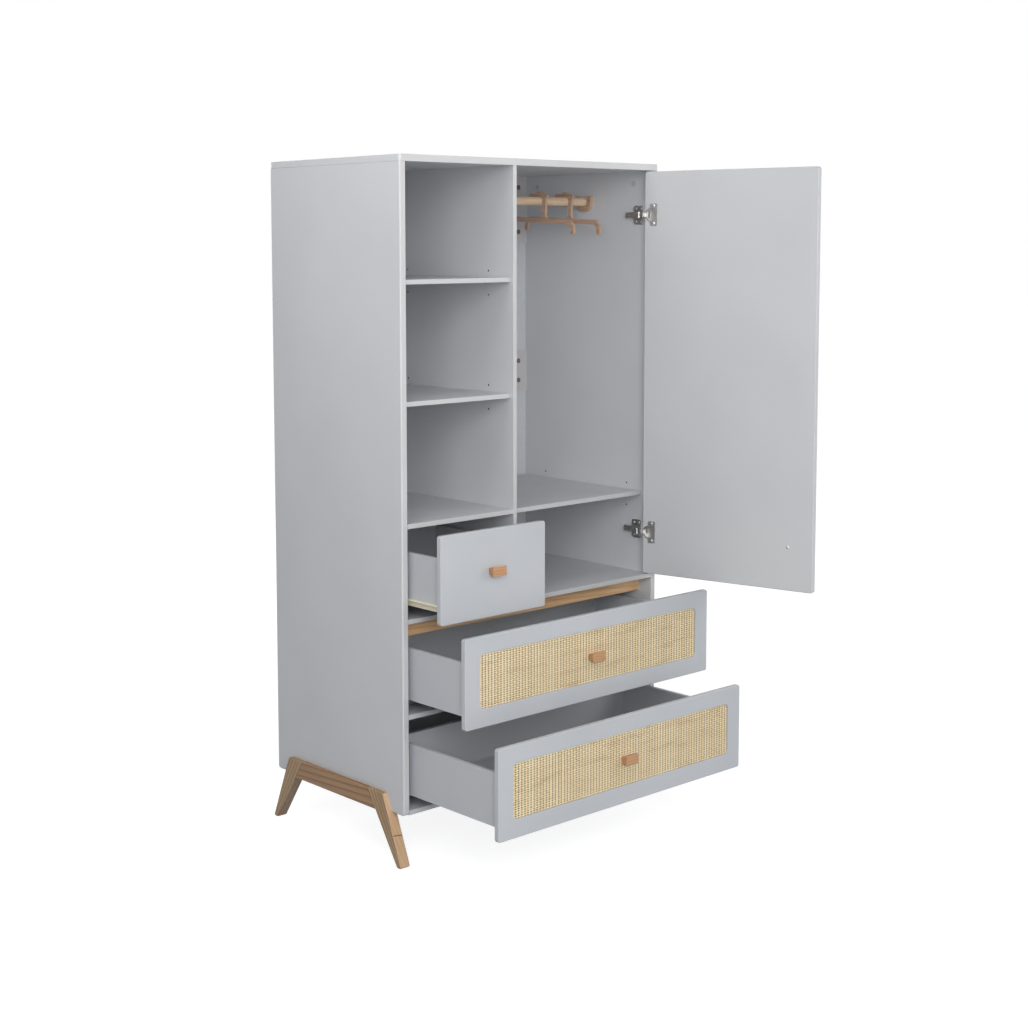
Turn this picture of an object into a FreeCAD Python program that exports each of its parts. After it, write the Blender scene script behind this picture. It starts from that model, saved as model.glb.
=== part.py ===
import FreeCAD, Part
import math
import os
from types import SimpleNamespace

# Wardrobe on splayed legs: an open bay with shelves, a hanging bay behind a door,
# a small drawer and two wide drawers with cane panels.
# Millimetres, +X to the right along the front, +Y to the back, +Z up.
# The origin is on the floor, midway between the four feet.
# The door and the drawers stand open, each by its own opening below.

V = FreeCAD.Vector

# Carcass
CARCASS_WIDTH = 940.0
CARCASS_DEPTH = 550.0
CARCASS_HEIGHT = 1670.0
FLOOR_CLEARANCE = 134.0
SIDE_THICKNESS = 18.0
TOP_THICKNESS = 18.0
BOTTOM_THICKNESS = 12.0
DIVIDER_THICKNESS = 12.0
FLOOR_THICKNESS = 12.0
CEILING_THICKNESS = 12.0
TOP_CORNER_RADIUS = 8.0
SIDE_FOOT_RADIUS = 9.0
SIDE_FRONT_ROUND = 4.0
EDGE_ROUND = 1.5
THIN_EDGE_ROUND = 1.0
OVERRUN = 5.0

# Most of a thickness that a softened edge may take, and how near counts as the same place
EDGE_LIMIT_SHARE = 0.33
MATCH_TOLERANCE = 1e-6
PARALLEL_SHARE = 0.99

# Bays, from the bottom up and from the left
LOWER_BAY_HEIGHT = 236.0
UPPER_BAY_HEIGHT = 234.0
SMALL_BAY_HEIGHT = 231.0
LEFT_BAY_WIDTH = 364.0
CROSS_RAIL_THICKNESS = 12.0
CROSS_RAIL_DEPTH = 80.0
STRETCHER_THICKNESS = 18.0
STRETCHER_HEIGHT = 43.0
STRETCHER_SETBACK = 48.0

# Rear rails and back sheets
REAR_RAIL_THICKNESS = 18.0
REAR_RAIL_INSET = 14.0
TOP_RAIL_HEIGHT = 200.0
MIDDLE_RAIL_HEIGHT = 125.0
MIDDLE_RAIL_DROP = 326.0
SHEET_THICKNESS = 4.0
SHEET_SETBACK = 5.0
SHEET_PLAY = 0.3
GROOVE_DEPTH = 6.0
DIVIDER_GROOVE_DEPTH = 3.5

# Cam locks in the ends of the rails and the tops of the sides
CAM_RADIUS = 7.5
CAM_DEPTH = 12.0
CAM_PLAY = 0.2
CAM_END_DISTANCE = 34.0
CAM_SIDE_INSET = 78.0
CAM_RAIL_MARGIN = 33.0

# Shelves and their pins
SHELF_THICKNESS = 12.0
SHELF_END_PLAY = 1.0
SHELF_REAR_PLAY = 1.0
LEFT_SHELF_RISES = (295.0, 600.0)
LEFT_SHELF_SETBACK = 11.0
RIGHT_SHELF_RISE = 223.0
RIGHT_SHELF_SETBACK = 42.0
PIN_RADIUS = 2.5
PIN_PLAY = 0.1
PIN_HOLE_DEPTH = 4.6
PIN_INSERT = 4.4
PIN_REACH = 9.0
PIN_PITCH = 32.0
PIN_FRONT_INSET = 98.0
PIN_REAR_INSET = 116.0
SHELF_SEAT = 0.2

# Hanging rod, its sockets and the hangers
ROD_RADIUS = 12.5
ROD_DROP = 82.0
ROD_REAR_SHIFT = -10.0
ROD_END_PLAY = 1.0
SOCKET_THICKNESS = 12.0
SOCKET_RADIUS = 28.5
SOCKET_ARM_RISE = 17.0
SOCKET_SLOT_PLAY = 0.4
SOCKET_TIP_ROUND = 5.0
HANGER_END_DISTANCES = (187.5, 83.5)
HANGER_THICKNESS = 7.0
HANGER_TILT_DEGREES = 3.0
HANGER_PLAY = 0.3
HOOK_CROWN_RADIUS = 18.0
HOOK_CROWN_REAR = 4.0
HOOK_CROWN_RISE = 9.5
HOOK_LOBE_RADIUS = 6.5
HOOK_LOBE_RISE = 14.5
HOOK_FRONT_REACH = 24.0
HOOK_REAR_REACH = 37.0
HANGER_INNER_ROUND = 7.0
NECK_WIDTH = 12.5
NECK_CLEARANCE = 0.5
NECK_ROOT_RADIUS = 12.0
BAR_HALF_HEIGHT = 6.5
BAR_DROP = 55.0
BAR_HALF_SPAN = 148.0
BAR_CENTRE_REAR = 12.0
BAR_BEND_RADIUS = 22.0
BAR_TIP_DROP = 28.0

# Legs and their rails
LEG_LAP = 48.0
LEG_OUTSET = 14.0
LEG_TOP_SPAN = 412.0
LEG_FOOT_OUTSET = 5.0
LEG_TOP_WIDTH = 65.0
LEG_FOOT_WIDTH = 18.0
LEG_RAIL_HEIGHT = 50.0
LEG_TOP_ROUND = 4.0
LEG_FOOT_ROUND = 5.0
LEG_RIM_ROUND = 2.5
LEG_INNER_ROUND_SHARE = 0.9

# Door
DOOR_THICKNESS = 18.0
DOOR_GAP = 3.0
DOOR_HINGE_GAP = 3.5
DOOR_OPENING_DEGREES = 103.1
FRONT_CORNER_RADIUS = 7.0
FRONT_EDGE_ROUND = 2.0
DOOR_EDGE_ROUND = 2.5
DOOR_KNOB_INSET = 73.0
DOOR_KNOB_RISE = 120.0

# Door hinges
HINGE_END_DISTANCE = 120.0
CUP_RADIUS = 17.5
CUP_DEPTH = 11.5
CUP_TAB = 3.0
CUP_WALL = 0.8
CUP_PLAY = 0.1
CUP_RIM_WIDTH = 1.8
FLANGE_THICKNESS = 1.0
FLANGE_HEIGHT = 63.0
FLANGE_WIDTH = 23.0
FLANGE_FROM_EDGE = 17.0
FLANGE_CORNER = 5.0
CUP_PIN_FROM_EDGE = 7.0
CUP_PIN_DEPTH = 13.5
CUP_PIN_RADIUS = 1.2
ARM_PIN_STANDOFF = 32.8
ARM_PIN_SETBACK = 26.0
ARM_PIN_RADIUS = 1.5
HINGE_PIN_PLAY = 0.06
LINK_OPENING_DEGREES = 31.0
LINK_HEIGHT = 11.0
LINK_THICKNESS = 2.0
LINK_CUP_EYE = 2.2
LINK_ARM_EYE = 3.0
LINK_ARCH_SHARES = ((0.03, 0.205), (0.18, 0.315), (0.5, 0.29))
ARM_HEIGHT = 15.0
ARM_WALL = 1.5
ARM_TAIL_SETBACK = 94.0
ARM_CRANK_SETBACK = 58.0
ARM_STANDOFF = 3.0
ARM_DEPTH = 11.0
ARM_WEB_STOP = 8.0
PLATE_WING_HEIGHT = 53.0
PLATE_WING_DEPTH = 35.0
PLATE_WING_SETBACK = 39.0
PLATE_WING_THICKNESS = 2.5
PLATE_WING_CORNER = 5.0
PLATE_EDGE_ROUND = 0.4
PLATE_CORE_HEIGHT = 11.0
PLATE_CORE_LENGTH = 50.0
PLATE_CORE_THICKNESS = 8.0
PLATE_SCREW_RISE = 18.0
PLATE_SCREW_INSET = 8.0

# Drawer fronts and cane panels
FRONT_THICKNESS = 15.0
DRAWER_GAP = 3.0
CANE_SIDE_MARGIN = 49.0
CANE_TOP_MARGIN = 44.0
CANE_BOTTOM_MARGIN = 47.0
CANE_POCKET_DEPTH = 5.5
CANE_THICKNESS = 2.5
CANE_CORNER_RADIUS = 14.0
POCKET_EDGE_ROUND = 1.0
CANE_PLAY = 0.2
SMALL_KNOB_RISE = 119.0

# Drawer boxes
BOX_SIDE_SPACE = 12.5
BOX_RISE = 33.0
BOX_HEIGHT = 133.0
BOX_LENGTH = 410.0
BOX_WALL = 12.0
BOX_BOTTOM_THICKNESS = 4.0
BOX_BOTTOM_RISE = 10.0
BOX_GROOVE_DEPTH = 5.0
BOX_GROOVE_PLAY = 0.2
SMALL_OPENING = 123.0
UPPER_OPENING = 213.0
LOWER_OPENING = 332.0

# Knobs and screws
KNOB_LENGTH = 23.0
KNOB_FACE_WIDTH = 46.0
KNOB_FACE_HEIGHT = 27.0
KNOB_BASE_WIDTH = 36.0
KNOB_BASE_HEIGHT = 15.0
KNOB_CORNER_ROUND = 3.0
KNOB_EDGE_ROUND = 2.0
KNOB_SCREW_BITE = 12.0
SCREW_RADIUS = 2.0
SCREW_HEAD_RADIUS = 4.2
SCREW_HEAD_HEIGHT = 2.4
SCREW_LENGTH = 10.0
SCREW_PLAY = 0.1

# Roller runners of the small drawer
ROLLER_RUNNER_WALL = 1.2
ROLLER_RADIUS = 7.0
ROLLER_WIDTH = 6.6
ROLLER_AXLE_RADIUS = 2.0
ROLLER_PLAY = 0.3
ROLLER_AXLE_PLAY = 0.06
ROLLER_CHANNEL_WIDTH = 9.6
ROLLER_RUNNER_LENGTH = 400.0
ROLLER_END_INSET = 9.0
ROLLER_FRONT_NOTCH = 20.0
ROLLER_CHANNEL_DROP = 4.0
RUNNER_FRONT_GAP = 4.0

# Runners of the wide drawers, hidden between the sides of the boxes and below their bottoms
SLIDE_WALL = 1.2
SLIDE_LENGTH = 400.0
SLIDE_MIDDLE_LENGTH = 380.0
SLIDE_HEIGHT = 14.0
SLIDE_FLANGE_RISE = 6.0
SLIDE_SHELF_WIDTH = 46.0
SLIDE_LIP_HEIGHT = 8.0
SLIDE_MIDDLE_WIDTH = 14.0
SLIDE_MIDDLE_OFFSET = 28.0
SLIDE_CAP_SKIRT = 8.0
SLIDE_PLAY = 0.3

# Planes worked out from the sizes above
X_OUT = CARCASS_WIDTH / 2
X_IN = X_OUT - SIDE_THICKNESS
Y_FRONT = -CARCASS_DEPTH / 2
Y_REAR = CARCASS_DEPTH / 2
LEG_FOOT_SPAN = CARCASS_DEPTH + 2 * LEG_FOOT_OUTSET
Z_BASE = FLOOR_CLEARANCE
Z_TOP = Z_BASE + CARCASS_HEIGHT
Z_UNDER_TOP = Z_TOP - TOP_THICKNESS
Z_LOWER_BAY = Z_BASE + BOTTOM_THICKNESS
Z_CROSS_RAIL = Z_LOWER_BAY + LOWER_BAY_HEIGHT
Z_UPPER_BAY = Z_CROSS_RAIL + CROSS_RAIL_THICKNESS
Z_FLOOR = Z_UPPER_BAY + UPPER_BAY_HEIGHT
Z_SMALL_BAY = Z_FLOOR + FLOOR_THICKNESS
Z_CEILING = Z_SMALL_BAY + SMALL_BAY_HEIGHT
Z_LEFT_BAY = Z_CEILING + CEILING_THICKNESS
X_DIVIDER = -X_IN + LEFT_BAY_WIDTH
X_RIGHT_BAY = X_DIVIDER + DIVIDER_THICKNESS
Y_RAIL_REAR = Y_REAR - REAR_RAIL_INSET
Y_RAIL = Y_RAIL_REAR - REAR_RAIL_THICKNESS
Y_SHEET = Y_RAIL + SHEET_SETBACK
Z_TOP_RAIL = Z_UNDER_TOP - TOP_RAIL_HEIGHT
Z_MIDDLE_RAIL_TOP = Z_TOP_RAIL - MIDDLE_RAIL_DROP
Z_MIDDLE_RAIL = Z_MIDDLE_RAIL_TOP - MIDDLE_RAIL_HEIGHT
LEFT_BAY = (-X_IN, X_DIVIDER)
RIGHT_BAY = (X_RIGHT_BAY, X_IN)
WHOLE_BAY = (-X_IN, X_IN)


def box(x, y, z):
    """A block between the low and high values of each axis."""
    return Part.makeBox(x[1] - x[0], y[1] - y[0], z[1] - z[0], V(x[0], y[0], z[0]))


def plane_point(normal, a, b, level):
    """A point given by its two values in the plane across one axis, and its level on that axis."""
    return {"x": V(level, a, b), "y": V(a, level, b), "z": V(a, b, level)}[normal]


def axis_vector(normal, length):
    return plane_point(normal, 0, 0, length)


def prism(points, normal, low, high):
    """An outline across one axis, extruded along it."""
    corners = [plane_point(normal, a, b, low) for a, b in points]
    face = Part.Face(Part.makePolygon(corners + corners[:1]))
    return face.extrude(axis_vector(normal, high - low))


def disc(centre, radius, normal, low, high):
    """A cylinder along one axis."""
    base = plane_point(normal, centre[0], centre[1], low)
    return Part.makeCylinder(radius, high - low, base, axis_vector(normal, 1))


def strip(start, end, half_width, normal, low, high):
    """A straight strip with round ends, thick across one axis."""
    across = math.hypot(end[0] - start[0], end[1] - start[1])
    side = (
        -(end[1] - start[1]) / across * half_width,
        (end[0] - start[0]) / across * half_width,
    )
    outline = [
        (start[0] + side[0], start[1] + side[1]),
        (start[0] - side[0], start[1] - side[1]),
        (end[0] - side[0], end[1] - side[1]),
        (end[0] + side[0], end[1] + side[1]),
    ]
    body = prism(outline, normal, low, high)
    ends = [disc(point, half_width, normal, low, high) for point in (start, end)]
    return body.multiFuse(ends)


def edges_along(solid, axis, **places):
    """Edges parallel to an axis whose middle has the given x, y or z."""
    index = "xyz".index(axis)
    picked = []
    for edge in solid.Edges:
        if abs(edge.tangentAt(edge.FirstParameter)[index]) < PARALLEL_SHARE:
            continue
        middle = edge.BoundBox.Center
        if all(abs(getattr(middle, key) - value) < MATCH_TOLERANCE for key, value in places.items()):
            picked.append(edge)
    return picked


def edges_across(solid, axis, level):
    """Edges that lie whole in the plane at a level of an axis."""
    picked = []
    for edge in solid.Edges:
        reach = edge.BoundBox
        ends = (getattr(reach, axis.upper() + "Min"), getattr(reach, axis.upper() + "Max"))
        if all(abs(end - level) < MATCH_TOLERANCE for end in ends):
            picked.append(edge)
    return picked


def plate(x, y, z, normal, corner):
    """A board with round corners and sharp edges."""
    board = box(x, y, z)
    return board.makeFillet(corner, edges_along(board, normal))


def panel(x, y, z, normal, corner, arris):
    """A board with round corners and softened edges round both faces."""
    board = plate(x, y, z, normal, corner)
    index = "xyz".index(normal)
    thickness = (x, y, z)[index][1] - (x, y, z)[index][0]
    faces = [face for face in board.Faces if abs(face.normalAt(0, 0)[index]) > PARALLEL_SHARE]
    rims = [edge for face in faces for edge in face.Edges]
    return board.makeFillet(min(arris, thickness * EDGE_LIMIT_SHARE), rims)


def write(node, *shapes):
    """One STEP file for a node, with each of its solids."""
    solids = [solid for shape in shapes for solid in shape.Solids]
    whole = solids[0] if len(solids) == 1 else Part.makeCompound(solids)
    whole.exportStep("parts/%s.step" % node)


def moved(shape, x=0, y=0, z=0):
    copy = shape.copy()
    copy.translate(V(x, y, z))
    return copy


def turned(shape, centre, axis, degrees):
    copy = shape.copy()
    copy.rotate(centre, axis, degrees)
    return copy


def screw(tip, into, length, play):
    """A round-headed screw or, with play, its clearance: the head stands on the face at tip."""
    out = V(into) * -1
    shank_base = V(tip) + V(into) * (length + play)
    shank = Part.makeCylinder(SCREW_RADIUS + play, length + play, shank_base, out)
    head = Part.makeCylinder(SCREW_HEAD_RADIUS, SCREW_HEAD_HEIGHT, V(tip), out)
    return shank if play else shank.fuse(head)


def cam(centre, into, play):
    """The disc of a cam lock, flush with the face at centre, or its housing with play."""
    return Part.makeCylinder(CAM_RADIUS + play, CAM_DEPTH + play, V(centre), V(into))


# Places that several pieces share
PIN_ROWS = (Y_FRONT + PIN_FRONT_INSET, Y_REAR - PIN_REAR_INSET)
LEFT_SHELF_UNDERSIDES = [Z_LEFT_BAY + rise for rise in LEFT_SHELF_RISES]
RIGHT_SHELF_UNDERSIDE = Z_SMALL_BAY + RIGHT_SHELF_RISE
CAM_ROWS = (Y_FRONT + CAM_SIDE_INSET, Y_REAR - CAM_SIDE_INSET)
CAM_LEVEL = Z_UNDER_TOP - CAM_END_DISTANCE


def pin_places(x, into, undersides):
    """Pin centres at one board face: the one in use under each shelf, at each row."""
    return [(V(x, y, z - PIN_RADIUS - SHELF_SEAT), into) for y in PIN_ROWS for z in undersides]


PINS = (
    pin_places(-X_IN, V(-1, 0, 0), LEFT_SHELF_UNDERSIDES)
    + pin_places(X_DIVIDER, V(1, 0, 0), LEFT_SHELF_UNDERSIDES)
    + pin_places(X_RIGHT_BAY, V(-1, 0, 0), [RIGHT_SHELF_UNDERSIDE])
    + pin_places(X_IN, V(1, 0, 0), [RIGHT_SHELF_UNDERSIDE])
)


def pin_holes(x):
    """Rows of three holes at each pin that enters the board face at x."""
    holes = []
    for centre, into in PINS:
        if centre.x != x:
            continue
        for step in (-1, 0, 1):
            mouth = centre + V(0, 0, step * PIN_PITCH)
            holes.append(Part.makeCylinder(PIN_RADIUS + PIN_PLAY, PIN_HOLE_DEPTH, mouth, into))
    return holes


def sheet_groove(x_low, x_high, z_low, z_high):
    """The slot that takes an edge of a back sheet."""
    y = (Y_SHEET - SHEET_PLAY, Y_SHEET + SHEET_THICKNESS + SHEET_PLAY)
    return box((x_low, x_high), y, (z_low, z_high))


# Hinge levels and places, with the door shut
Z_DOOR = Z_SMALL_BAY + DOOR_GAP
Z_DOOR_TOP = Z_UNDER_TOP - DOOR_GAP
HINGE_LEVELS = (Z_DOOR + HINGE_END_DISTANCE, Z_DOOR_TOP - HINGE_END_DISTANCE)
X_DOOR_EDGE = X_IN - DOOR_HINGE_GAP
X_DOOR_FREE = X_RIGHT_BAY + DOOR_GAP
Y_DOOR_INNER = Y_FRONT + DOOR_THICKNESS
ARM_PIN = V(X_IN - ARM_PIN_STANDOFF, Y_FRONT + ARM_PIN_SETBACK, 0)
CUP_PIN_SHUT = V(X_DOOR_EDGE - CUP_PIN_FROM_EDGE, Y_FRONT + CUP_PIN_DEPTH, 0)
LINK_SPAN = CUP_PIN_SHUT - ARM_PIN
LINK_LENGTH = LINK_SPAN.Length


def turned_vector(vector, degrees):
    angle = math.radians(degrees)
    return V(
        vector.x * math.cos(angle) - vector.y * math.sin(angle),
        vector.x * math.sin(angle) + vector.y * math.cos(angle),
        vector.z,
    )


CUP_PIN_OPEN = ARM_PIN + turned_vector(LINK_SPAN, -LINK_OPENING_DEGREES)
PLATE_WING_Y = (
    Y_FRONT + PLATE_WING_SETBACK,
    Y_FRONT + PLATE_WING_SETBACK + PLATE_WING_DEPTH,
)
PLATE_SCREWS = [
    V(X_IN - PLATE_WING_THICKNESS, y, level + side * PLATE_SCREW_RISE)
    for level in HINGE_LEVELS
    for side in (-1, 1)
    for y in (PLATE_WING_Y[0] + PLATE_SCREW_INSET, PLATE_WING_Y[1] - PLATE_SCREW_INSET)
]
CUP_X = X_DOOR_EDGE - CUP_TAB - CUP_RADIUS
FLANGE_X = (X_DOOR_EDGE - FLANGE_FROM_EDGE - FLANGE_WIDTH, X_DOOR_EDGE - FLANGE_FROM_EDGE)
CUP_SCREW_RISE = (CUP_RADIUS + FLANGE_HEIGHT / 2) / 2
CUP_SCREWS = [
    V(sum(FLANGE_X) / 2, Y_DOOR_INNER + FLANGE_THICKNESS, level + side * CUP_SCREW_RISE)
    for level in HINGE_LEVELS
    for side in (-1, 1)
]
DOOR_KNOB = (X_DOOR_FREE + DOOR_KNOB_INSET, Z_DOOR + DOOR_KNOB_RISE)


def opened_door(shape):
    """A piece built on the shut door, carried to the open door."""
    swung = turned(shape, CUP_PIN_SHUT, V(0, 0, 1), DOOR_OPENING_DEGREES)
    swung.translate(CUP_PIN_OPEN - CUP_PIN_SHUT)
    return swung


def opened_link(shape):
    return turned(shape, ARM_PIN, V(0, 0, 1), -LINK_OPENING_DEGREES)


# Rod places
Z_ROD = Z_UNDER_TOP - ROD_DROP
ROD_CENTRE = (ROD_REAR_SHIFT, Z_ROD)
SOCKET_SLOT_RADIUS = ROD_RADIUS + SOCKET_SLOT_PLAY
SOCKET_ARM = (SOCKET_RADIUS + SOCKET_SLOT_RADIUS) / 2
SOCKET_FACES = (X_RIGHT_BAY + SOCKET_THICKNESS, X_IN - SOCKET_THICKNESS)
SOCKET_SCREWS = [
    (V(x, ROD_REAR_SHIFT + side * SOCKET_ARM, Z_ROD), V(into, 0, 0))
    for x, into in zip(SOCKET_FACES, (-1, 1))
    for side in (-1, 1)
]
SOCKET_SCREW_LENGTH = SOCKET_THICKNESS + DIVIDER_THICKNESS - SCREW_HEAD_RADIUS


def top_panel():
    """The top lies on both sides and has round outer corners."""
    x = (-X_OUT, X_OUT)
    y = (Y_FRONT, Y_REAR)
    return panel(x, y, (Z_UNDER_TOP, Z_TOP), "z", TOP_CORNER_RADIUS, EDGE_ROUND)


def side_panel(side):
    """A side, +1 on the right and -1 on the left, with its grooves, pin holes and cam housings."""
    x = sorted((side * X_IN, side * X_OUT))
    board = box(x, (Y_FRONT, Y_REAR), (Z_BASE, Z_UNDER_TOP))
    board = board.makeFillet(SIDE_FOOT_RADIUS, edges_along(board, "x", z=Z_BASE))
    board = board.makeFillet(EDGE_ROUND, edges_along(board, "z", x=side * X_IN, y=Y_FRONT))
    board = board.makeFillet(SIDE_FRONT_ROUND, edges_along(board, "z", x=side * X_OUT, y=Y_FRONT))
    groove_x = sorted((side * (X_IN - OVERRUN), side * (X_IN + GROOVE_DEPTH)))
    cuts = [sheet_groove(groove_x[0], groove_x[1], Z_BASE - OVERRUN, Z_TOP_RAIL + GROOVE_DEPTH)]
    cuts += pin_holes(side * X_IN)
    cuts += [cam((side * X_IN, y, CAM_LEVEL), (side, 0, 0), CAM_PLAY) for y in CAM_ROWS]
    if side > 0:
        cuts += [screw(place, (1, 0, 0), SCREW_LENGTH, SCREW_PLAY) for place in PLATE_SCREWS]
        right_sockets = [pair for pair in SOCKET_SCREWS if pair[1].x > 0]
        cuts += [screw(tip, into, SOCKET_SCREW_LENGTH, SCREW_PLAY) for tip, into in right_sockets]
    return board.cut(cuts)


def divider():
    """The upright board between the two upper bays."""
    board = box((X_DIVIDER, X_RIGHT_BAY), (Y_FRONT, Y_RAIL_REAR), (Z_SMALL_BAY, Z_UNDER_TOP))
    board = board.makeFillet(THIN_EDGE_ROUND, edges_along(board, "z", y=Y_FRONT))
    groove_z = (Z_SMALL_BAY - OVERRUN, Z_TOP_RAIL + GROOVE_DEPTH)
    left = sheet_groove(X_DIVIDER - OVERRUN, X_DIVIDER + DIVIDER_GROOVE_DEPTH, *groove_z)
    right = sheet_groove(X_RIGHT_BAY - DIVIDER_GROOVE_DEPTH, X_RIGHT_BAY + OVERRUN, *groove_z)
    cuts = [left, right] + pin_holes(X_DIVIDER) + pin_holes(X_RIGHT_BAY)
    left_sockets = [pair for pair in SOCKET_SCREWS if pair[1].x < 0]
    cuts += [screw(tip, into, SOCKET_SCREW_LENGTH, SCREW_PLAY) for tip, into in left_sockets]
    return board.cut(cuts)


def level_board(x, z_low, thickness, y_low, y_high):
    """A level board with a softened front edge."""
    board = box(x, (y_low, y_high), (z_low, z_low + thickness))
    arris = min(THIN_EDGE_ROUND, thickness * EDGE_LIMIT_SHARE)
    return board.makeFillet(arris, edges_along(board, "x", y=y_low))


def rear_rails():
    """Four rails, two in each upper bay, grooved for the back sheets and housed for cam locks."""
    rails = []
    for x in (LEFT_BAY, RIGHT_BAY):
        top = box(x, (Y_RAIL, Y_RAIL_REAR), (Z_TOP_RAIL, Z_UNDER_TOP))
        middle = box(x, (Y_RAIL, Y_RAIL_REAR), (Z_MIDDLE_RAIL, Z_MIDDLE_RAIL_TOP))
        ends = (x[0] - OVERRUN, x[1] + OVERRUN)
        low = sheet_groove(*ends, Z_MIDDLE_RAIL - OVERRUN, Z_MIDDLE_RAIL + GROOVE_DEPTH)
        high = sheet_groove(*ends, Z_MIDDLE_RAIL_TOP - GROOVE_DEPTH, Z_TOP_RAIL + GROOVE_DEPTH)
        housings = [cam(place, (0, 1, 0), CAM_PLAY) for place in rail_cams(x)]
        rails += [rail.cut([low, high] + housings) for rail in (top, middle)]
    return rails


def rail_cams(x):
    """Cam centres on the front faces of the two rails of a bay."""
    columns = (x[0] + CAM_END_DISTANCE, x[1] - CAM_END_DISTANCE)
    levels = (
        Z_UNDER_TOP - CAM_RAIL_MARGIN,
        Z_TOP_RAIL + CAM_RAIL_MARGIN,
        Z_MIDDLE_RAIL_TOP - CAM_RAIL_MARGIN,
        Z_MIDDLE_RAIL + CAM_RAIL_MARGIN,
    )
    return [V(column, Y_RAIL, level) for column in columns for level in levels]


def cam_locks():
    """The cam discs of the rails and of the tops of both sides."""
    discs = [cam(place, (0, 1, 0), 0) for x in (LEFT_BAY, RIGHT_BAY) for place in rail_cams(x)]
    for side in (-1, 1):
        discs += [cam((side * X_IN, y, CAM_LEVEL), (side, 0, 0), 0) for y in CAM_ROWS]
    return discs


def back_sheets():
    """Thin sheets in the grooves: two behind each upper bay and one behind the wide drawers."""
    y = (Y_SHEET, Y_SHEET + SHEET_THICKNESS)
    side_bite = GROOVE_DEPTH - SHEET_PLAY
    divider_bite = DIVIDER_GROOVE_DEPTH - SHEET_PLAY
    seam = Z_FLOOR + FLOOR_THICKNESS / 2
    columns = (
        (-X_IN - side_bite, X_DIVIDER + divider_bite),
        (X_RIGHT_BAY - divider_bite, X_IN + side_bite),
    )
    rows = (
        (seam + SHEET_PLAY, Z_MIDDLE_RAIL + side_bite),
        (Z_MIDDLE_RAIL_TOP - side_bite, Z_TOP_RAIL + side_bite),
    )
    sheets = [box(x, y, z) for x in columns for z in rows]
    sheets.append(box((-X_IN - side_bite, X_IN + side_bite), y, (Z_BASE, seam)))
    return sheets


def shelf(bay, underside, setback):
    """A loose shelf on its pins."""
    x = (bay[0] + SHELF_END_PLAY, bay[1] - SHELF_END_PLAY)
    return level_board(x, underside, SHELF_THICKNESS, Y_FRONT + setback, Y_RAIL - SHELF_REAR_PLAY)


def shelf_pins():
    length = PIN_INSERT + PIN_REACH
    ends = [(tip + into * PIN_INSERT, into * -1) for tip, into in PINS]
    return [Part.makeCylinder(PIN_RADIUS, length, end, out) for end, out in ends]


def rod_socket(x):
    """A wooden U that the rod drops into from above."""
    z_arm = Z_ROD + SOCKET_ARM_RISE
    round_part = disc(ROD_CENTRE, SOCKET_RADIUS, "x", *x)
    arm_y = (ROD_REAR_SHIFT - SOCKET_RADIUS, ROD_REAR_SHIFT + SOCKET_RADIUS)
    arms = box(x, arm_y, (Z_ROD, z_arm))
    above = box(x, arm_y, (z_arm, Z_ROD + SOCKET_RADIUS + OVERRUN))
    body = round_part.fuse(arms).cut(above)
    slot_y = (ROD_REAR_SHIFT - SOCKET_SLOT_RADIUS, ROD_REAR_SHIFT + SOCKET_SLOT_RADIUS)
    slot = box((x[0] - OVERRUN, x[1] + OVERRUN), slot_y, (Z_ROD, z_arm + OVERRUN))
    seat = disc(ROD_CENTRE, SOCKET_SLOT_RADIUS, "x", x[0] - OVERRUN, x[1] + OVERRUN)
    body = body.cut([slot, seat])
    tips = edges_along(body, "x", z=z_arm)
    tip_round = min(SOCKET_TIP_ROUND, (SOCKET_RADIUS - SOCKET_SLOT_RADIUS) * EDGE_LIMIT_SHARE)
    return body.makeFillet(tip_round, tips)


def rod_sockets():
    holes = [screw(tip, into, SOCKET_SCREW_LENGTH, SCREW_PLAY) for tip, into in SOCKET_SCREWS]
    places = ((X_RIGHT_BAY, SOCKET_FACES[0]), (SOCKET_FACES[1], X_IN))
    return [rod_socket(x).cut(holes) for x in places]


def softened(face, radius):
    """A flat outline whose inner corners are rounded."""
    return face.makeOffset2D(radius).makeOffset2D(-radius)


def bar_end(end, x):
    """An end of a hanger's bar: a quarter bend and a round-ended finger that points down."""
    y_finger = BAR_CENTRE_REAR + end * BAR_HALF_SPAN
    y_bend = y_finger - end * BAR_BEND_RADIUS
    z_bend = -BAR_DROP - BAR_BEND_RADIUS
    outer = BAR_BEND_RADIUS + BAR_HALF_HEIGHT
    ring = disc((y_bend, z_bend), outer, "x", *x)
    if BAR_BEND_RADIUS > BAR_HALF_HEIGHT:
        ring = ring.cut(disc((y_bend, z_bend), BAR_BEND_RADIUS - BAR_HALF_HEIGHT, "x", *x))
    quarter = ring.common(box(x, sorted((y_bend, y_bend + end * outer)), (z_bend, z_bend + outer)))
    finger = strip((y_finger, z_bend), (y_finger, -BAR_DROP - BAR_TIP_DROP), BAR_HALF_HEIGHT, "x", *x)
    return quarter.fuse(finger)


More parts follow.
